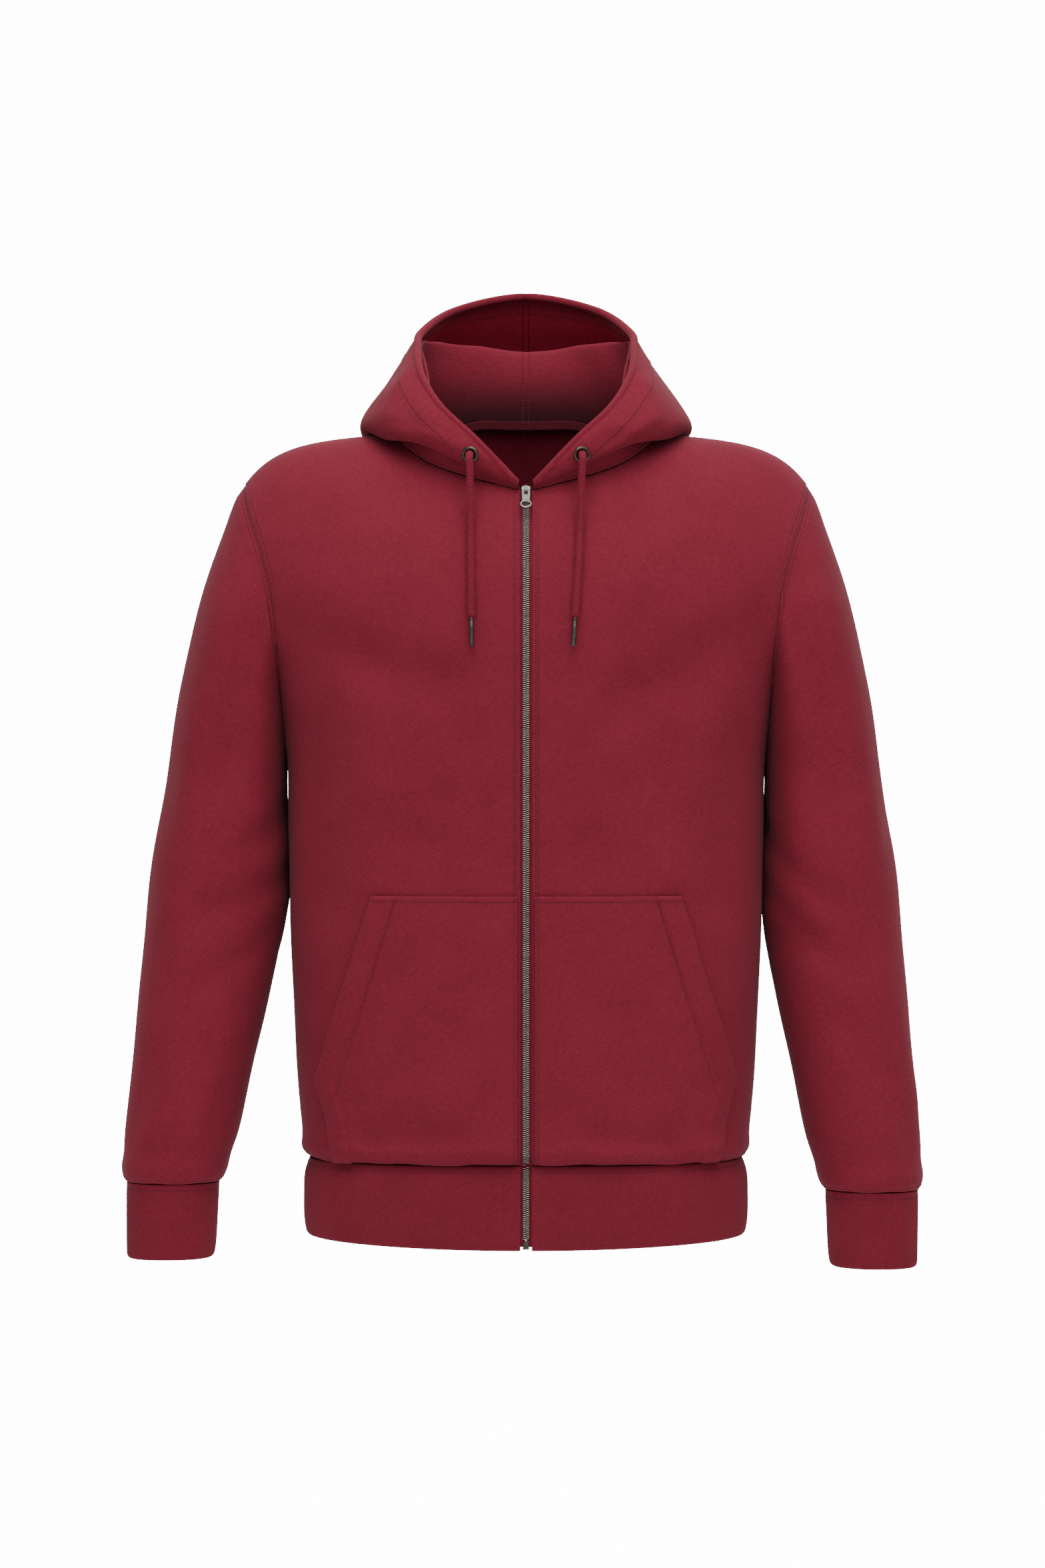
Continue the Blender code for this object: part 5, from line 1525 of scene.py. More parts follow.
def zip_points(levels, depth):
    """Points of the zip at the centre front behind the front's outer face, and the way out."""
    middle = np.zeros_like(levels)
    in_band = levels[:, None] < HEM_LEVEL
    line = np.where(in_band, ring_point(BAND_RINGS, middle, levels), body_point(middle, levels))
    behind_band = smooth_step(-levels, -BEHIND_BAND_LEVEL - BAND_STEP, -BEHIND_BAND_LEVEL + BAND_STEP)
    step = (RIB - FLEECE) * behind_band
    fall = np.gradient(line[:, 1], levels)
    outward = unit(np.stack([np.zeros_like(fall), -np.ones_like(fall), fall], axis=-1))
    return line - (depth + step)[:, None] * outward, outward


def tape_grid(sign):
    """Middle face of one zip tape."""
    levels = np.linspace(TAPE_FOOT_LEVEL, TAPE_TOP_LEVEL, TAPE_ROWS)
    line = zip_points(levels, TAPE_DEPTH + TAPE_THICKNESS / 2)[0]
    across = np.linspace(TAPE_INNER_X, TAPE_OUTER_X, TAPE_COLUMNS)
    middle = line[:, None, :] + across[None, :, None] * np.array([1.0, 0.0, 0.0])
    return middle if sign > 0 else mirrored(middle)


def teeth_mesh():
    """All the teeth, each a rounded bar that thins at its tip, in turn from each side."""
    count = int((CHAIN_TOP_LEVEL - CHAIN_FOOT_LEVEL) / (TOOTH_PITCH / 2))
    levels = CHAIN_FOOT_LEVEL + (np.arange(count) + 0.5) * TOOTH_PITCH / 2
    line, outward = zip_points(levels, CHAIN_RECESS + CHAIN_THICKNESS / 2)
    upward = np.cross(outward, RIGHTWARD)
    side = np.where(np.arange(count) % 2 == 0, 1.0, -1.0)
    turn = round_angles(TOOTH_SIDES, 0.5)
    profile = np.array(TOOTH_PROFILE)
    along = profile[:, None, 0] * np.ones(TOOTH_SIDES)
    up = profile[:, None, 1] * np.sin(turn) / np.sin(np.pi / 3) + TOOTH_TILT * profile[:, None, 0]
    out = profile[:, None, 2] * np.cos(turn)
    shape = np.stack([along, out, up], axis=-1).reshape(-1, 3)
    vertices = (line[:, None, :] + (side[:, None] * -shape[None, :, 0])[..., None] * RIGHTWARD
                + shape[None, :, 1, None] * outward[:, None, :]
                + shape[None, :, 2, None] * upward[:, None, :])
    quads = grid_quads(len(profile), TOOTH_SIDES, True)
    size = len(shape)
    faces = []
    for number in range(count):
        start = number * size
        flip = side[number] > 0
        for quad in quads:
            faces.append([start + corner for corner in (quad if flip else quad[::-1])])
        for ring, turned in ((0, flip), (len(profile) - 1, not flip)):
            cap = [start + ring * TOOTH_SIDES + corner for corner in range(TOOTH_SIDES)]
            faces.append(cap[::-1] if turned else cap)
    return vertices.reshape(-1, 3), faces


def metal_finish(name, dark, light, roughness):
    """Plated metal with faint wear: patches a little duller and darker, fine scratches."""
    material, shader, tree = shader_of(name, roughness, metallic=1.0)
    place = tree.nodes.new("ShaderNodeTexCoord").outputs["Object"]
    patches = noise(tree, place, METAL_PATCH_SIZE, 3.0)
    tree.links.new(two_tones(tree, patches, dark, light, PLAIN_TONES), shader.inputs["Base Color"])
    dull = maths(tree, "MULTIPLY_ADD", patches, WEAR)
    dull.node.inputs[2].default_value = roughness - POLISH
    tree.links.new(dull, shader.inputs["Roughness"])
    scratches = noise(tree, place, SCRATCH_SIZE)
    tree.links.new(bump(tree, scratches, SCRATCH_DEPTH), shader.inputs["Normal"])
    return material


tooth_metal = metal_finish("tooth_metal", (0.30, 0.29, 0.265), (0.44, 0.43, 0.40), 0.34)
antique_silver = metal_finish("antique_silver", (0.15, 0.145, 0.132), (0.22, 0.212, 0.195), 0.36)
gunmetal = metal_finish("gunmetal", (0.10, 0.088, 0.075), (0.17, 0.150, 0.130), 0.38)
tape_cloth = cloth_finish("zip_tape_weave", WINE_DARK, WINE_LIGHT, stroke=0.2, pebble=1.0, depth=0.00012)
for sign, side in SIDES.items():
    middle = tape_grid(sign)
    wall = np.full(middle.shape[:2], TAPE_THICKNESS)
    thick_cloth("woven_tape_" + side, middle, wall, {}, tape_cloth, ["zip_tape_" + side],
                "hung")
vertices, faces = teeth_mesh()
teeth = mesh_piece("zip_teeth", vertices, faces, tooth_metal)
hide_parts("zip_chain")

# %% Slider, pull tab and retainer box
SLIDER_LEVEL = -0.0525
SLIDER_CROWN = ((0.0012, 0.0048), (0.0026, 0.0044), (0.0037, 0.0034), (0.00395, 0.0022), (0.00385, 0.0008),
                (0.0034, -0.0008), (0.0031, -0.0030), (0.0027, -0.0044), (0.0016, -0.0048))
PLATE_FRONT = (0.0000, 0.0013)
PLATE_BACK = (-0.0047, -0.0035)
PLATE_EDGE = 0.00030
POST_SIZE = (0.0009, 0.0012, 0.0024)
POST_PLACE = (0.0, 0.0015, 0.0030)
BAIL_ROUTE = ((0.0036, 0.0006), (0.0037, 0.0022), (0.0030, 0.0034), (0.0014, 0.0038), (-0.0008, 0.0038),
              (-0.0026, 0.0034), (-0.0035, 0.0022), (-0.0034, 0.0006))
BAIL_HALF_WIDTH = 0.00112
BAIL_HALF_THICKNESS = 0.00045
BAIL_STEPS = 28
BAIL_SIDES = 12
HINGE_UP = -0.0015
HINGE_OUT = 0.0023
TAB_REST_LIFT = math.radians(11)
TAB_HALF_WIDTH = 0.00355
TAB_WAIST = 0.00335
TAB_THICKNESS = 0.0012
TAB_EDGE = 0.00022
TAB_TOP = 0.0007
TAB_RING_UP = -0.0168
TAB_RING_RADIUS = 0.0049
TAB_HOLE = (0.0036, 0.0028)
TAB_SLOT = (0.0015, -0.0006, -0.0054)
SLOT_CORNER = (0.0006, 0.0007)
TAB_SIDES = 40
TAB_SHOULDER = ((-1.0, 0.0), (-0.94, 0.55), (-0.80, 0.93), (-0.68, 1.0),
                (0.68, 1.0), (0.80, 0.93), (0.94, 0.55), (1.0, 0.0))
TAB_BODY = ((TAB_HALF_WIDTH, -0.006), (TAB_WAIST, -0.0105))
TAB_SHOULDER_DROP = 0.0009
BOX_PARTS = (((0.0, 0.00155, 0.0019), (0.0026, 0.00145, 0.0020)),
             ((0.0, 0.00160, 0.0052), (0.0021, 0.00120, 0.0020)))
BOX_EDGE = 0.00035
METAL_SHARP = math.radians(42)
STRAP_ROUNDNESS = 0.7


def mesh_from_outlines(name, outlines, half_depth, edge):
    """Flat piece with rounded edges from closed outlines, as arrays of vertices and faces.

    Its plane is the first two axes; the first outline is the outside, the others are holes.
    """
    curve = bpy.data.curves.new(name, "CURVE")
    curve.dimensions = "2D"
    curve.fill_mode = "BOTH"
    curve.extrude = half_depth - edge
    curve.bevel_depth = edge
    curve.bevel_resolution = 2
    curve.offset = -edge
    for outline in outlines:
        spline = curve.splines.new("POLY")
        spline.points.add(len(outline) - 1)
        for point, (x, y) in zip(spline.points, outline):
            point.co = (x, y, 0.0, 1.0)
        spline.use_cyclic_u = True
    holder = bpy.data.objects.new(name, curve)
    collection.objects.link(holder)
    bpy.context.view_layer.update()
    evaluated = holder.evaluated_get(bpy.context.evaluated_depsgraph_get())
    made = bpy.data.meshes.new_from_object(evaluated)
    vertices = np.array([tuple(vertex.co) for vertex in made.vertices])
    faces = [list(face.vertices) for face in made.polygons]
    bpy.data.objects.remove(holder)
    bpy.data.curves.remove(curve)
    bpy.data.meshes.remove(made)
    return vertices, faces


def welded(parts):
    """One array of vertices and one list of faces from several."""
    vertices, faces, start = [], [], 0
    for points, cells in parts:
        vertices.append(points)
        faces += [[start + int(corner) for corner in cell] for cell in cells]
        start += len(points)
    return np.concatenate(vertices), faces


def outlines_to_frame(vertices, out=0.0):
    """From an outline's (across, up, depth) to a frame's (across, into the cloth, up)."""
    return np.stack([vertices[:, 0], -(vertices[:, 2] + out), vertices[:, 1]], axis=-1)


def rounded_box(half, edge, centre):
    """Box with rounded edges as vertices and faces."""
    shape = bmesh.new()
    bmesh.ops.create_cube(shape, size=2.0)
    for vertex in shape.verts:
        vertex.co = [vertex.co[axis] * half[axis] for axis in range(3)]
    bmesh.ops.bevel(shape, geom=shape.edges[:] + shape.verts[:], offset=edge, segments=2,
                    profile=0.5, affect="EDGES")
    vertices = np.array([tuple(vertex.co) for vertex in shape.verts]) + np.array(centre)
    faces = [[vertex.index for vertex in face.verts] for face in shape.faces]
    shape.free()
    return vertices, faces


def capped_tube(rings, sides):
    """Faces of a tube of rings, with a cap at each end."""
    ends = [list(range(sides))[::-1], [(rings - 1) * sides + corner for corner in range(sides)]]
    return grid_quads(rings, sides, True).tolist() + ends


def strap(route, half_width, half_thickness, steps, sides):
    """Rounded strap along a route of (up, out), its width across."""
    knots = np.linspace(0, 1, len(route))
    path = curve_through(knots, np.array(route), np.linspace(0, 1, steps))
    ahead = unit(np.gradient(path, axis=0))
    outward = np.stack([-ahead[:, 1], ahead[:, 0]], axis=-1)
    turn = round_angles(sides)
    across = signed_power(np.cos(turn), STRAP_ROUNDNESS) * half_width
    away = signed_power(np.sin(turn), STRAP_ROUNDNESS) * half_thickness
    up = path[:, None, 0] + away[None, :] * outward[:, None, 0]
    out = path[:, None, 1] + away[None, :] * outward[:, None, 1]
    vertices = np.stack([np.broadcast_to(across, up.shape), -out, up], axis=-1).reshape(-1, 3)
    return vertices, capped_tube(steps, sides)


def set_in_frame(vertices, place, turn):
    """Vertices of a frame, turned about X and placed."""
    cosine, sine = math.cos(turn), math.sin(turn)
    turned = np.stack([vertices[:, 0], vertices[:, 1] * cosine - vertices[:, 2] * sine,
                       vertices[:, 1] * sine + vertices[:, 2] * cosine], axis=-1)
    return turned + np.array(place)


def outward_faces(vertices, faces):
    """The same faces, all turned outward, shell by shell."""
    shape = bmesh.new()
    corners = [shape.verts.new(point) for point in vertices]
    for face in faces:
        shape.faces.new([corners[corner] for corner in face])
    bmesh.ops.remove_doubles(shape, verts=shape.verts[:], dist=1e-7)
    bmesh.ops.recalc_face_normals(shape, faces=shape.faces[:])
    shape.verts.index_update()
    points = np.array([tuple(vertex.co) for vertex in shape.verts])
    cells = [[vertex.index for vertex in face.verts] for face in shape.faces]
    shape.free()
    return points, cells


def zip_frame(level):
    """Place on the zip line at a level, and the turn about X that lays a piece on the cloth there."""
    levels = np.array([level - SLOPE_STEP, level, level + SLOPE_STEP])
    lower, here, upper = body_point(np.zeros(3), levels)
    return here, -math.atan2(upper[1] - lower[1], upper[2] - lower[2])


def slider_shape():
    """Two crowned plates, the post between them and the bail."""
    crown = list(SLIDER_CROWN) + [(-x, z) for x, z in SLIDER_CROWN[::-1]]
    parts = []
    for low, high in (PLATE_FRONT, PLATE_BACK):
        points, cells = mesh_from_outlines("plate", [crown], (high - low) / 2, PLATE_EDGE)
        parts.append((outlines_to_frame(points, (low + high) / 2), cells))
    parts.append(rounded_box(POST_SIZE, PLATE_EDGE, POST_PLACE))
    parts.append(strap(BAIL_ROUTE, BAIL_HALF_WIDTH, BAIL_HALF_THICKNESS, BAIL_STEPS, BAIL_SIDES))
    return welded(parts)


def tab_round(half_width, half_height, turns):
    """Points of an ellipse about the middle of the tab's ring."""
    return [(half_width * math.cos(turn), TAB_RING_UP + half_height * math.sin(turn)) for turn in turns]


def tab_shape():
    """Tab with a slot round the bail and a ring at its end; its hinge line is the origin."""
    meet = math.acos(TAB_WAIST / TAB_RING_RADIUS)
    ring = tab_round(TAB_RING_RADIUS, TAB_RING_RADIUS, np.linspace(meet, -math.pi - meet, TAB_SIDES))
    shoulder = [(TAB_HALF_WIDTH * x, TAB_TOP - TAB_SHOULDER_DROP * (1 - y)) for x, y in TAB_SHOULDER]
    body = list(TAB_BODY)
    outline = shoulder + body + ring + [(-x, z) for x, z in body[::-1]]
    half, top, bottom = TAB_SLOT
    inset, rise = SLOT_CORNER
    slot = [(-half, top), (half, top), (half, bottom + rise), (half - inset, bottom),
            (-half + inset, bottom), (-half, bottom + rise)]
    hole = tab_round(*TAB_HOLE, np.linspace(0, 2 * math.pi, TAB_SIDES, endpoint=False))
    points, cells = mesh_from_outlines("tab", [outline, slot, hole], TAB_THICKNESS / 2, TAB_EDGE)
    return outlines_to_frame(points), cells


place, turn = zip_frame(SLIDER_LEVEL)
points, cells = slider_shape()
points, cells = outward_faces(set_in_frame(points, place, turn), cells)
slider = mesh_piece("crowned_slider", points, cells, antique_silver)
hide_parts("zip_slider")

hinge = set_in_frame(np.array([(0.0, -HINGE_OUT, HINGE_UP)]), place, turn)[0]
points, cells = tab_shape()
points, cells = outward_faces(set_in_frame(points, hinge, turn - TAB_REST_LIFT), cells)
tab = mesh_piece("ring_pull", points, cells, antique_silver, body=tab_body)
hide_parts("pull_tab")

foot = zip_points(np.array([BAND_BOTTOM, BAND_BOTTOM + SLOPE_STEP]), 0.0)[0][0]
boxes = [rounded_box(half, BOX_EDGE, np.array(centre) + foot) for centre, half in BOX_PARTS]
points, cells = outward_faces(*welded(boxes))
retainer = mesh_piece("retainer_box", points, cells, gunmetal)
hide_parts("zip_box")
for piece in (slider, tab, retainer):
    piece.data.set_sharp_from_angle(angle=METAL_SHARP)
print("hinge line at", [round(float(value), 5) for value in hinge])

# %% [markdown]
# ## Drawcord, eyelets and neck tape
# The drawcord is braided. Each free end leaves the hood by a gunmetal eyelet, bends down
# over the neck seam and hangs on the chest, and ends in a crimped metal tip.

# %% Eyelets and tips
EYELET_PLACE = (0.0468, -0.1024, -0.0228)
EYELET_FACING = (0.22, -0.96, -0.12)
EYELET_PROFILE = (
    (0.0070, -0.0008), (0.0070, 0.0003), (0.0067, 0.0009), (0.0060, 0.0013), (0.0052, 0.0013),
    (0.0045, 0.0009), (0.0040, 0.0002), (0.0036, -0.0005), (0.0036, -0.0014), (0.0045, -0.0016),
)
EYELET_SIDES = 56
TIP_RADIUS = 0.0019
TIP_GAP = 0.0003
TIP_SIDES = 28
TIP_PROFILE = (
    (0.0000, 0.0000), (0.70, 0.0000), (0.96, 0.0003), (1.00, 0.0008), (1.00, 0.0022), (0.92, 0.0026),
    (0.92, 0.0030), (1.00, 0.0034), (1.00, 0.0120), (0.98, 0.0200), (1.00, 0.0226), (0.93, 0.0236),
    (0.60, 0.0240), (0.0000, 0.0240),
)
TRIM_SHARP = math.radians(50)
NEARLY_UPRIGHT = 0.9


def revolved(profile, sides, place, facing):
    """Shape turned round an axis from (radius, along) pairs: closed on the axis, or else a ring."""
    axis = np.array(facing) / np.linalg.norm(facing)
    beside = np.cross(axis, UP if abs(axis[2]) < NEARLY_UPRIGHT else np.array([0.0, 1.0, 0.0]))
    beside /= np.linalg.norm(beside)
    beyond = np.cross(axis, beside)
    turn = round_angles(sides)
    spoke = np.cos(turn)[:, None] * beside + np.sin(turn)[:, None] * beyond
    profile = np.array(profile)
    vertices = (np.array(place) + profile[:, None, 1, None] * axis
                + profile[:, None, 0, None] * spoke[None])
    faces = grid_quads(len(profile), sides, True)
    if profile[0, 0] > 0:
        index = np.arange(len(profile) * sides).reshape(len(profile), sides)
        last, first = index[-1], index[0]
        joined = np.stack([last, np.roll(last, -1), np.roll(first, -1), first], axis=-1)
        faces = np.concatenate([faces, joined])
    return vertices.reshape(-1, 3), faces


def cord_route(sign, steps):
    """Centreline of one free end of the drawcord, evenly spaced, and its length."""
    route = np.array(CORD_ROUTE)
    run = run_lengths(route, 0)
    route[:, 0] += CORD_LEAN[sign] * (run / run[-1]) ** 2
    route[:, 0] *= sign
    fine = curve_through(run, route, np.linspace(0, run[-1], CORD_ROWS))
    length = run_lengths(fine, 0)
    return picked(np.linspace(0, length[-1], steps), length, fine), length[-1]


# %% Braided cords
CORD_ROWS = 600
CORD_SIDES = 44
BRAID_COLUMNS = 4
BRAID_SLANT = 0.55
BRAID_PITCH = 0.0021
BRAID_RELIEF = 0.00050
COLUMN_GROOVE = 0.16
MIDDLE_GROOVE = 0.13
CORD_INSET = 0.00008
CORD_END = 0.0016
CORD_GRIP = 0.42
CORD_WAVES = ((0.021, 0.00012, 0.0), (0.047, 0.0002, 1.3))


def braided_cord(sign):
    """Tube whose surface has the bumps of a braid, drawn in a little where the tip grips it."""
    line, length = cord_route(sign, CORD_ROWS)
    run = np.linspace(0, length, CORD_ROWS)
    ahead = unit(np.gradient(line, axis=0))
    beside = unit(RIGHTWARD - (ahead @ RIGHTWARD)[:, None] * ahead)
    beyond = np.cross(ahead, beside)
    turn = round_angles(CORD_SIDES)
    column = np.abs((turn / (2 * np.pi) * BRAID_COLUMNS) % 1.0 - 0.5) * 2
    chevron = np.sin(2 * np.pi * (run[:, None] / BRAID_PITCH + BRAID_SLANT * column[None, :]))
    groove = bell(1 - column, COLUMN_GROOVE) + 0.6 * bell(column, MIDDLE_GROOVE)
    relief = BRAID_RELIEF * (0.5 * chevron - 0.5 - 0.7 * groove[None, :])
    radius = CORD_RADIUS * np.ones((CORD_ROWS, 1)) + ripple(run, CORD_WAVES)[:, None] * 0.5 - CORD_INSET
    grip = smooth_step(run, length - CORD_END * 1.6, length)[:, None]
    radius = (radius + relief) * (1 - grip * CORD_GRIP)
    vertices = (line[:, None, :] + radius[..., None] * (np.cos(turn)[None, :, None] * beside[:, None, :]
                + np.sin(turn)[None, :, None] * beyond[:, None, :]))
    return vertices.reshape(-1, 3), capped_tube(CORD_ROWS, CORD_SIDES), line, length


cord_cloth = cloth_finish("cord_cotton", WINE_DARK, WINE_LIGHT, stroke=0.3, pebble=0.8, depth=0.00008)
for sign, side in SIDES.items():
    vertices, faces, line, length = braided_cord(sign)
    points, cells = outward_faces(vertices, faces)
    cord = mesh_piece("braided_cord_" + side, points, cells, cord_cloth)
    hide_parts("drawcord_" + side)
    direction = line[-1] - line[-4]
    direction /= np.linalg.norm(direction)
    points, cells = revolved([(TIP_RADIUS * reach, along) for reach, along in TIP_PROFILE],
                             TIP_SIDES, line[-1] + direction * TIP_GAP, direction)
    points, cells = outward_faces(points, cells)
    tip = mesh_piece("crimped_tip_" + side, points, cells, gunmetal)
    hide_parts("aglet_" + side)
    mirror = np.array([sign, 1.0, 1.0])
    points, cells = revolved(EYELET_PROFILE, EYELET_SIDES, mirror * np.array(EYELET_PLACE),
                             mirror * np.array(EYELET_FACING))
    points, cells = outward_faces(points, cells)
    ring = mesh_piece("rolled_eyelet_" + side, points, cells, gunmetal)
    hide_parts("eyelet_" + side)
    for piece in (tip, ring):
        piece.data.set_sharp_from_angle(angle=TRIM_SHARP)
    print(side, "cord", round(float(length), 4), "m")

# %% Neck tape
NECK_TAPE_HEIGHT = 0.008
NECK_TAPE_THICKNESS = 0.0012
NECK_TAPE_STATION = 0.30
NECK_TAPE_COLUMNS = 420
NECK_TAPE_ROWS = 11
TWIST_PITCH = 0.0030
TWIST_SLANT = 0.5
TWIST_RELIEF = 0.14
TAPE_EDGE = 0.0001
# Painted shade: the tape's wine is much darker than the fleece's, for the shade in the hollow inside the
# back neck.
NECK_TAPE_DARK = (0.080, 0.0060, 0.0120)
NECK_TAPE_LIGHT = (0.125, 0.0095, 0.0190)


def neck_tape_grid():
    """Middle of the tape over the back neck seam, and its wall with the twisted ridges along it."""
    stations = np.linspace(NECK_TAPE_STATION, -NECK_TAPE_STATION, NECK_TAPE_COLUMNS)
    seam = neck_ring(stations)
    line = seam + unit(seam * INWARD) * (FLEECE + 4 * SEAM_GAP + NECK_TAPE_THICKNESS / 2)
    rise = np.linspace(-0.5, 0.5, NECK_TAPE_ROWS) * NECK_TAPE_HEIGHT
    middle = line[None, :, :] + rise[:, None, None] * UP
    slanted = run_lengths(middle, 1) + TWIST_SLANT * rise[:, None] * np.sign(rise[:, None])
    ridge = np.sin(2 * np.pi * slanted / TWIST_PITCH)
    wall = NECK_TAPE_THICKNESS * (1 - TWIST_RELIEF + TWIST_RELIEF * ridge)
    edge = (NECK_TAPE_HEIGHT / 2 - np.abs(rise))[:, None]
    return middle, rounded_wall(wall, edge + TAPE_EDGE)


middle, wall = neck_tape_grid()
neck_cloth = cloth_finish("neck_tape_cloth", NECK_TAPE_DARK, NECK_TAPE_LIGHT,
                          stroke=0.2, pebble=0.6, depth=0.00015)
thick_cloth("twisted_neck_tape", middle, wall, {}, neck_cloth, ["neck_tape"])

# %% [markdown]
# ## Topstitching
# Every seam that shows has its rows of thread. A row follows the places on a cloth that
# are one distance from its edge, and each stitch is a small bead sunk in the fleece.

# %% Topstitching
STITCH_PITCH = 0.0030
STITCH_LENGTH = 0.0023
STITCH_RADIUS = 0.00026
STITCH_SINK = 0.00006
STITCH_SIDES = 5
STITCH_SHOULDER = 0.62
STITCH_SHARE_SUNK = 0.6
SHORTEST_STITCH = 0.5
THREAD_ROUGHNESS = 0.55
THREAD_PATCH_SIZE = (0.003, 0.003, 0.003)
THREAD_TWIST_SIZE = (0.0004, 0.0004, 0.0002)
THREAD_TWIST_DEPTH = 0.00004
THREAD_DARKER = 0.8
THREAD_COLOUR = (0.30, 0.024, 0.050)
JUMP = 0.2
SHORTEST_ROW = 5


def row_line(points, normal, distance, value, axis, last):
    """Where a grid's lines along an axis cross a distance: places, normals and which lines do."""
    if axis == 0:
        points, normal, distance = points.transpose(1, 0, 2), normal.transpose(1, 0, 2), distance.T
    here, ahead = distance[:, :-1], distance[:, 1:]
    cross = ((here < value) != (ahead < value)) & (np.abs(ahead - here) < JUMP)
    at = cross.shape[1] - 1 - np.argmax(cross[:, ::-1], axis=1) if last else np.argmax(cross, axis=1)
    line = np.arange(len(at))
    gap = ahead[line, at] - here[line, at]
    share = np.clip((value - here[line, at]) / np.where(gap == 0, 1.0, gap), 0.0, 1.0)[:, None]
    place = points[line, at] * (1 - share) + points[line, at + 1] * share
    facing = normal[line, at] * (1 - share) + normal[line, at + 1] * share
    return place, facing, cross.any(axis=1)


def stitch_places(piece, edge, value, axis=1, last=False, closed=False):
    """Middle, direction and facing of each stitch of a row, on every kept face of the cloth."""
    made = []
    for points, turned in faces_of[piece]:
        normal = grid_normals(points, closed) * turned
        place, facing, there = row_line(points, normal, edges_of[piece][edge], value, axis, last)
        if closed:
            place, facing, there = (np.concatenate([kept, kept[:1]]) for kept in (place, facing, there))
        bounds = np.flatnonzero(np.diff(np.concatenate([[0], there.astype(int), [0]])))
        for start, stop in zip(bounds[::2], bounds[1::2]):
            if stop - start < SHORTEST_ROW:
                continue
            run = run_lengths(place[start:stop], 0)
            middles = np.arange(STITCH_PITCH / 2, run[-1], STITCH_PITCH)
            tail, head = (picked(middles + shift, run, place[start:stop])
                          for shift in (-STITCH_LENGTH / 2, STITCH_LENGTH / 2))
            made.append(((tail + head) / 2, head - tail, picked(middles, run, facing[start:stop])))
    return [np.concatenate(part) for part in zip(*made)]


def stitch_mesh(rows):
    """Beads for all the stitches of the rows, as one array of vertices and one list of faces."""
    middle, ahead, face = (np.concatenate(part) for part in zip(*rows))
    length = np.linalg.norm(ahead, axis=1, keepdims=True)
    kept = length[:, 0] > STITCH_LENGTH * SHORTEST_STITCH
    middle, face, ahead = middle[kept], face[kept], ahead[kept] / length[kept]
    face = unit(face - (face * ahead).sum(axis=1, keepdims=True) * ahead)
    beside = np.cross(face, ahead)
    middle = middle + face * (STITCH_RADIUS - STITCH_SINK - STITCH_SHARE_SUNK * STITCH_RADIUS)
    turn = round_angles(STITCH_SIDES)
    spoke = (np.cos(turn)[None, :, None] * face[:, None, :]
             + np.sin(turn)[None, :, None] * beside[:, None, :])
    half = STITCH_LENGTH / 2
    rings = [(middle + ahead * half * along)[:, None, :] + spoke * STITCH_RADIUS
             for along in (-STITCH_SHOULDER, STITCH_SHOULDER)]
    ends = [(middle + ahead * half * along)[:, None, :] for along in (-1.0, 1.0)]
    vertices = np.concatenate([ends[0], rings[0], rings[1], ends[1]], axis=1)
    size, tail = 2 + 2 * STITCH_SIDES, 1 + 2 * STITCH_SIDES
    cells = []
    for side in range(STITCH_SIDES):
        beyond = (side + 1) % STITCH_SIDES
        cells.append((0, 1 + beyond, 1 + side))
        cells.append((1 + side, 1 + beyond, 1 + STITCH_SIDES + beyond, 1 + STITCH_SIDES + side))
        cells.append((tail, 1 + STITCH_SIDES + side, 1 + STITCH_SIDES + beyond))
    starts = np.arange(len(middle)) * size
    faces = [tuple(start + corner for corner in cell) for start in starts for cell in cells]
    return vertices.reshape(-1, 3), faces


def thread_finish(name, colour):
    """Sewing thread: smooth, with a faint change of tone from stitch to stitch."""
    material, shader, tree = shader_of(name, THREAD_ROUGHNESS)
    place = tree.nodes.new("ShaderNodeTexCoord").outputs["Object"]
    patches = noise(tree, place, THREAD_PATCH_SIZE, 1.0)
    darker = tuple(THREAD_DARKER * part for part in colour)
    tree.links.new(two_tones(tree, patches, darker, colour, PLAIN_TONES), shader.inputs["Base Color"])
    twist = noise(tree, place, THREAD_TWIST_SIZE, 1.0)
    tree.links.new(bump(tree, twist, THREAD_TWIST_DEPTH), shader.inputs["Normal"])
    return material


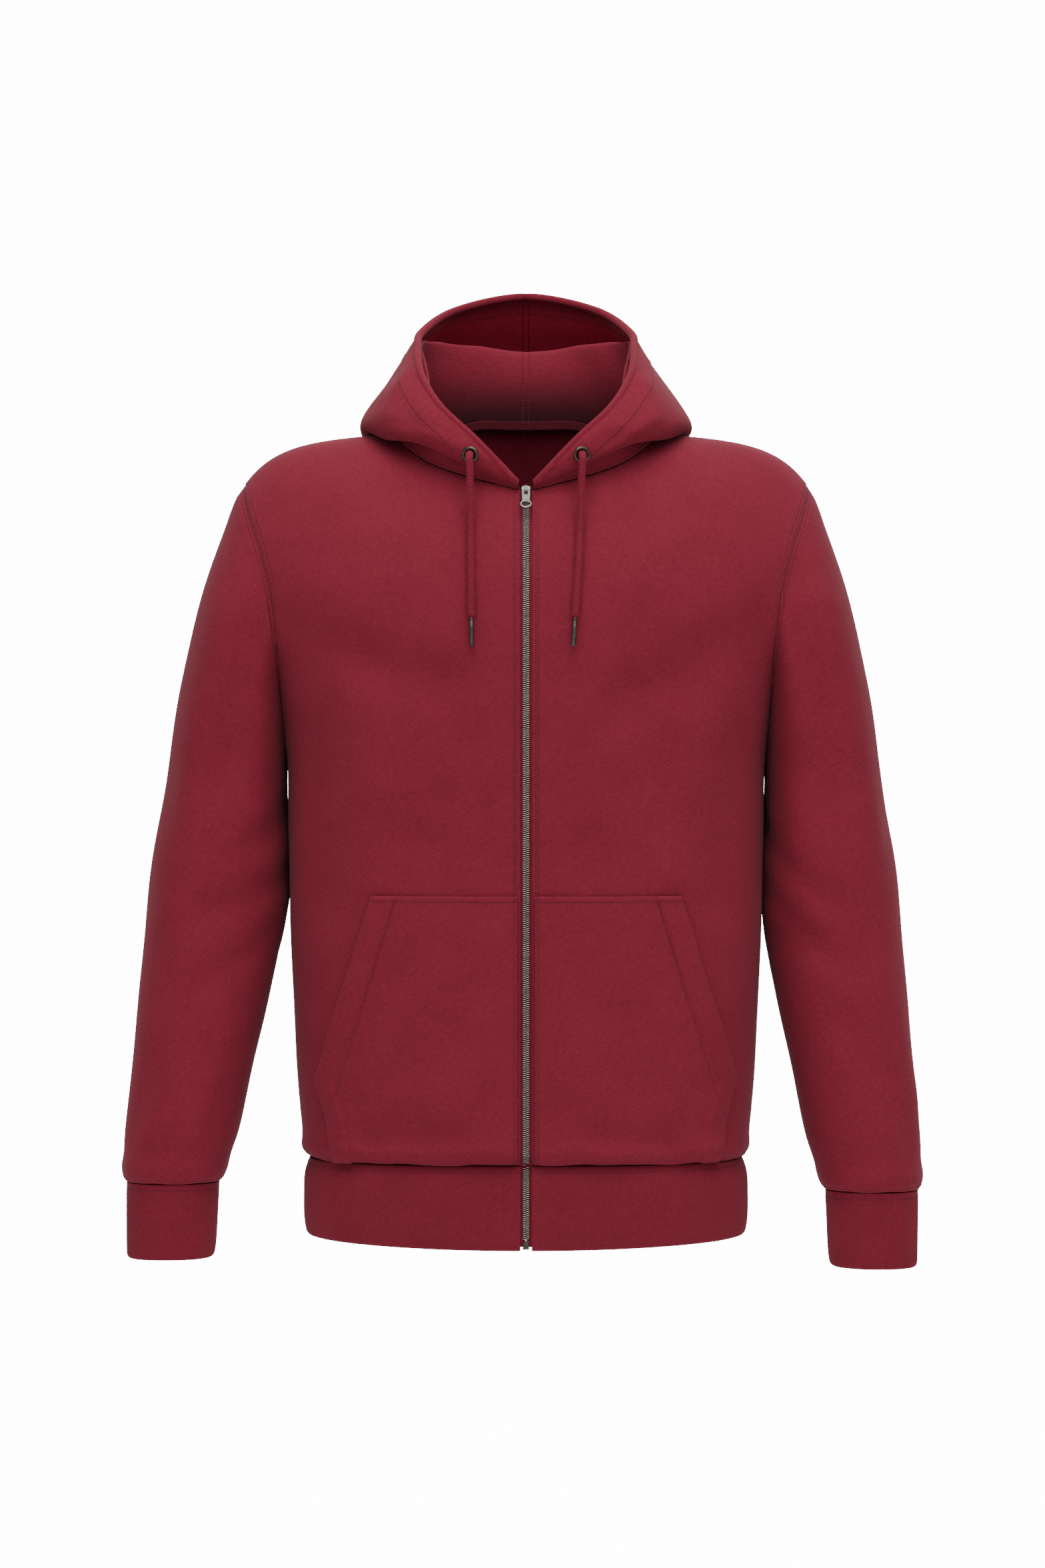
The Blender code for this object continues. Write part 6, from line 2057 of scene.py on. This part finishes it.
# A row says its cloth, its edge and its distance to it; how it is looked for is along the
# grid's columns or its rows, from which end, and on a tube or not.
BY_COLUMN, FROM_END = {"axis": 0}, {"last": True}
ROUND_TUBE = {"axis": 0, "closed": True}
ROWS_OF_A_SIDE = (
    ("cloth_front_", "centre_edge", CENTRE_ROWS[0], {}),
    ("cloth_front_", "centre_edge", CENTRE_ROWS[1], {}),
    ("cloth_front_", "armhole_edge", ARMHOLE_ROWS[0], {}),
    ("cloth_front_", "hem_edge", HEM_ROWS[0], BY_COLUMN),
    ("cloth_front_", "neck_edge", NECK_ROWS[0], BY_COLUMN),
    ("cloth_sleeve_", "armhole_edge", ARMHOLE_ROWS[0], ROUND_TUBE),
    ("cloth_sleeve_", "hem_edge", HEM_ROWS[0], ROUND_TUBE),
    ("cloth_cuff_", "band_edge", RIB_ROW, ROUND_TUBE),
    ("cloth_pocket_", "top_edge", TOP_ROW, BY_COLUMN),
    ("cloth_pocket_", "opening_edge", POCKET_HEM_WIDTH, {}),
    ("cloth_pocket_", "side_edge", POCKET_SIDE_ROW, {}),
)
ROWS_OF_BOTH_SIDES = (
    ("cloth_back", "armhole_edge", ARMHOLE_ROWS[0], {}),
    ("cloth_back", "armhole_edge", ARMHOLE_ROWS[0], FROM_END),
    ("cloth_back", "hem_edge", HEM_ROWS[0], BY_COLUMN),
    ("cloth_back", "neck_edge", NECK_ROWS[0], BY_COLUMN),
    ("cloth_waistband", "band_edge", RIB_ROW, BY_COLUMN),
    ("cloth_hood", "centre_seam", HOOD_SEAM_ROW, {}),
    ("cloth_hood", "centre_seam", HOOD_SEAM_ROW, FROM_END),
    ("cloth_hood", "brim_edge", BRIM_ROW, BY_COLUMN),
)
sewn = [(cloth_name + side, *row) for side in SIDES.values() for cloth_name, *row in ROWS_OF_A_SIDE]
vertices, faces = stitch_mesh([stitch_places(piece, edge, distance, **how)
                               for piece, edge, distance, how in [*sewn, *ROWS_OF_BOTH_SIDES]])
thread = mesh_piece("topstitching", vertices, faces, thread_finish("wine_thread", THREAD_COLOUR))
print(len(vertices) // (2 + 2 * STITCH_SIDES), "stitches")
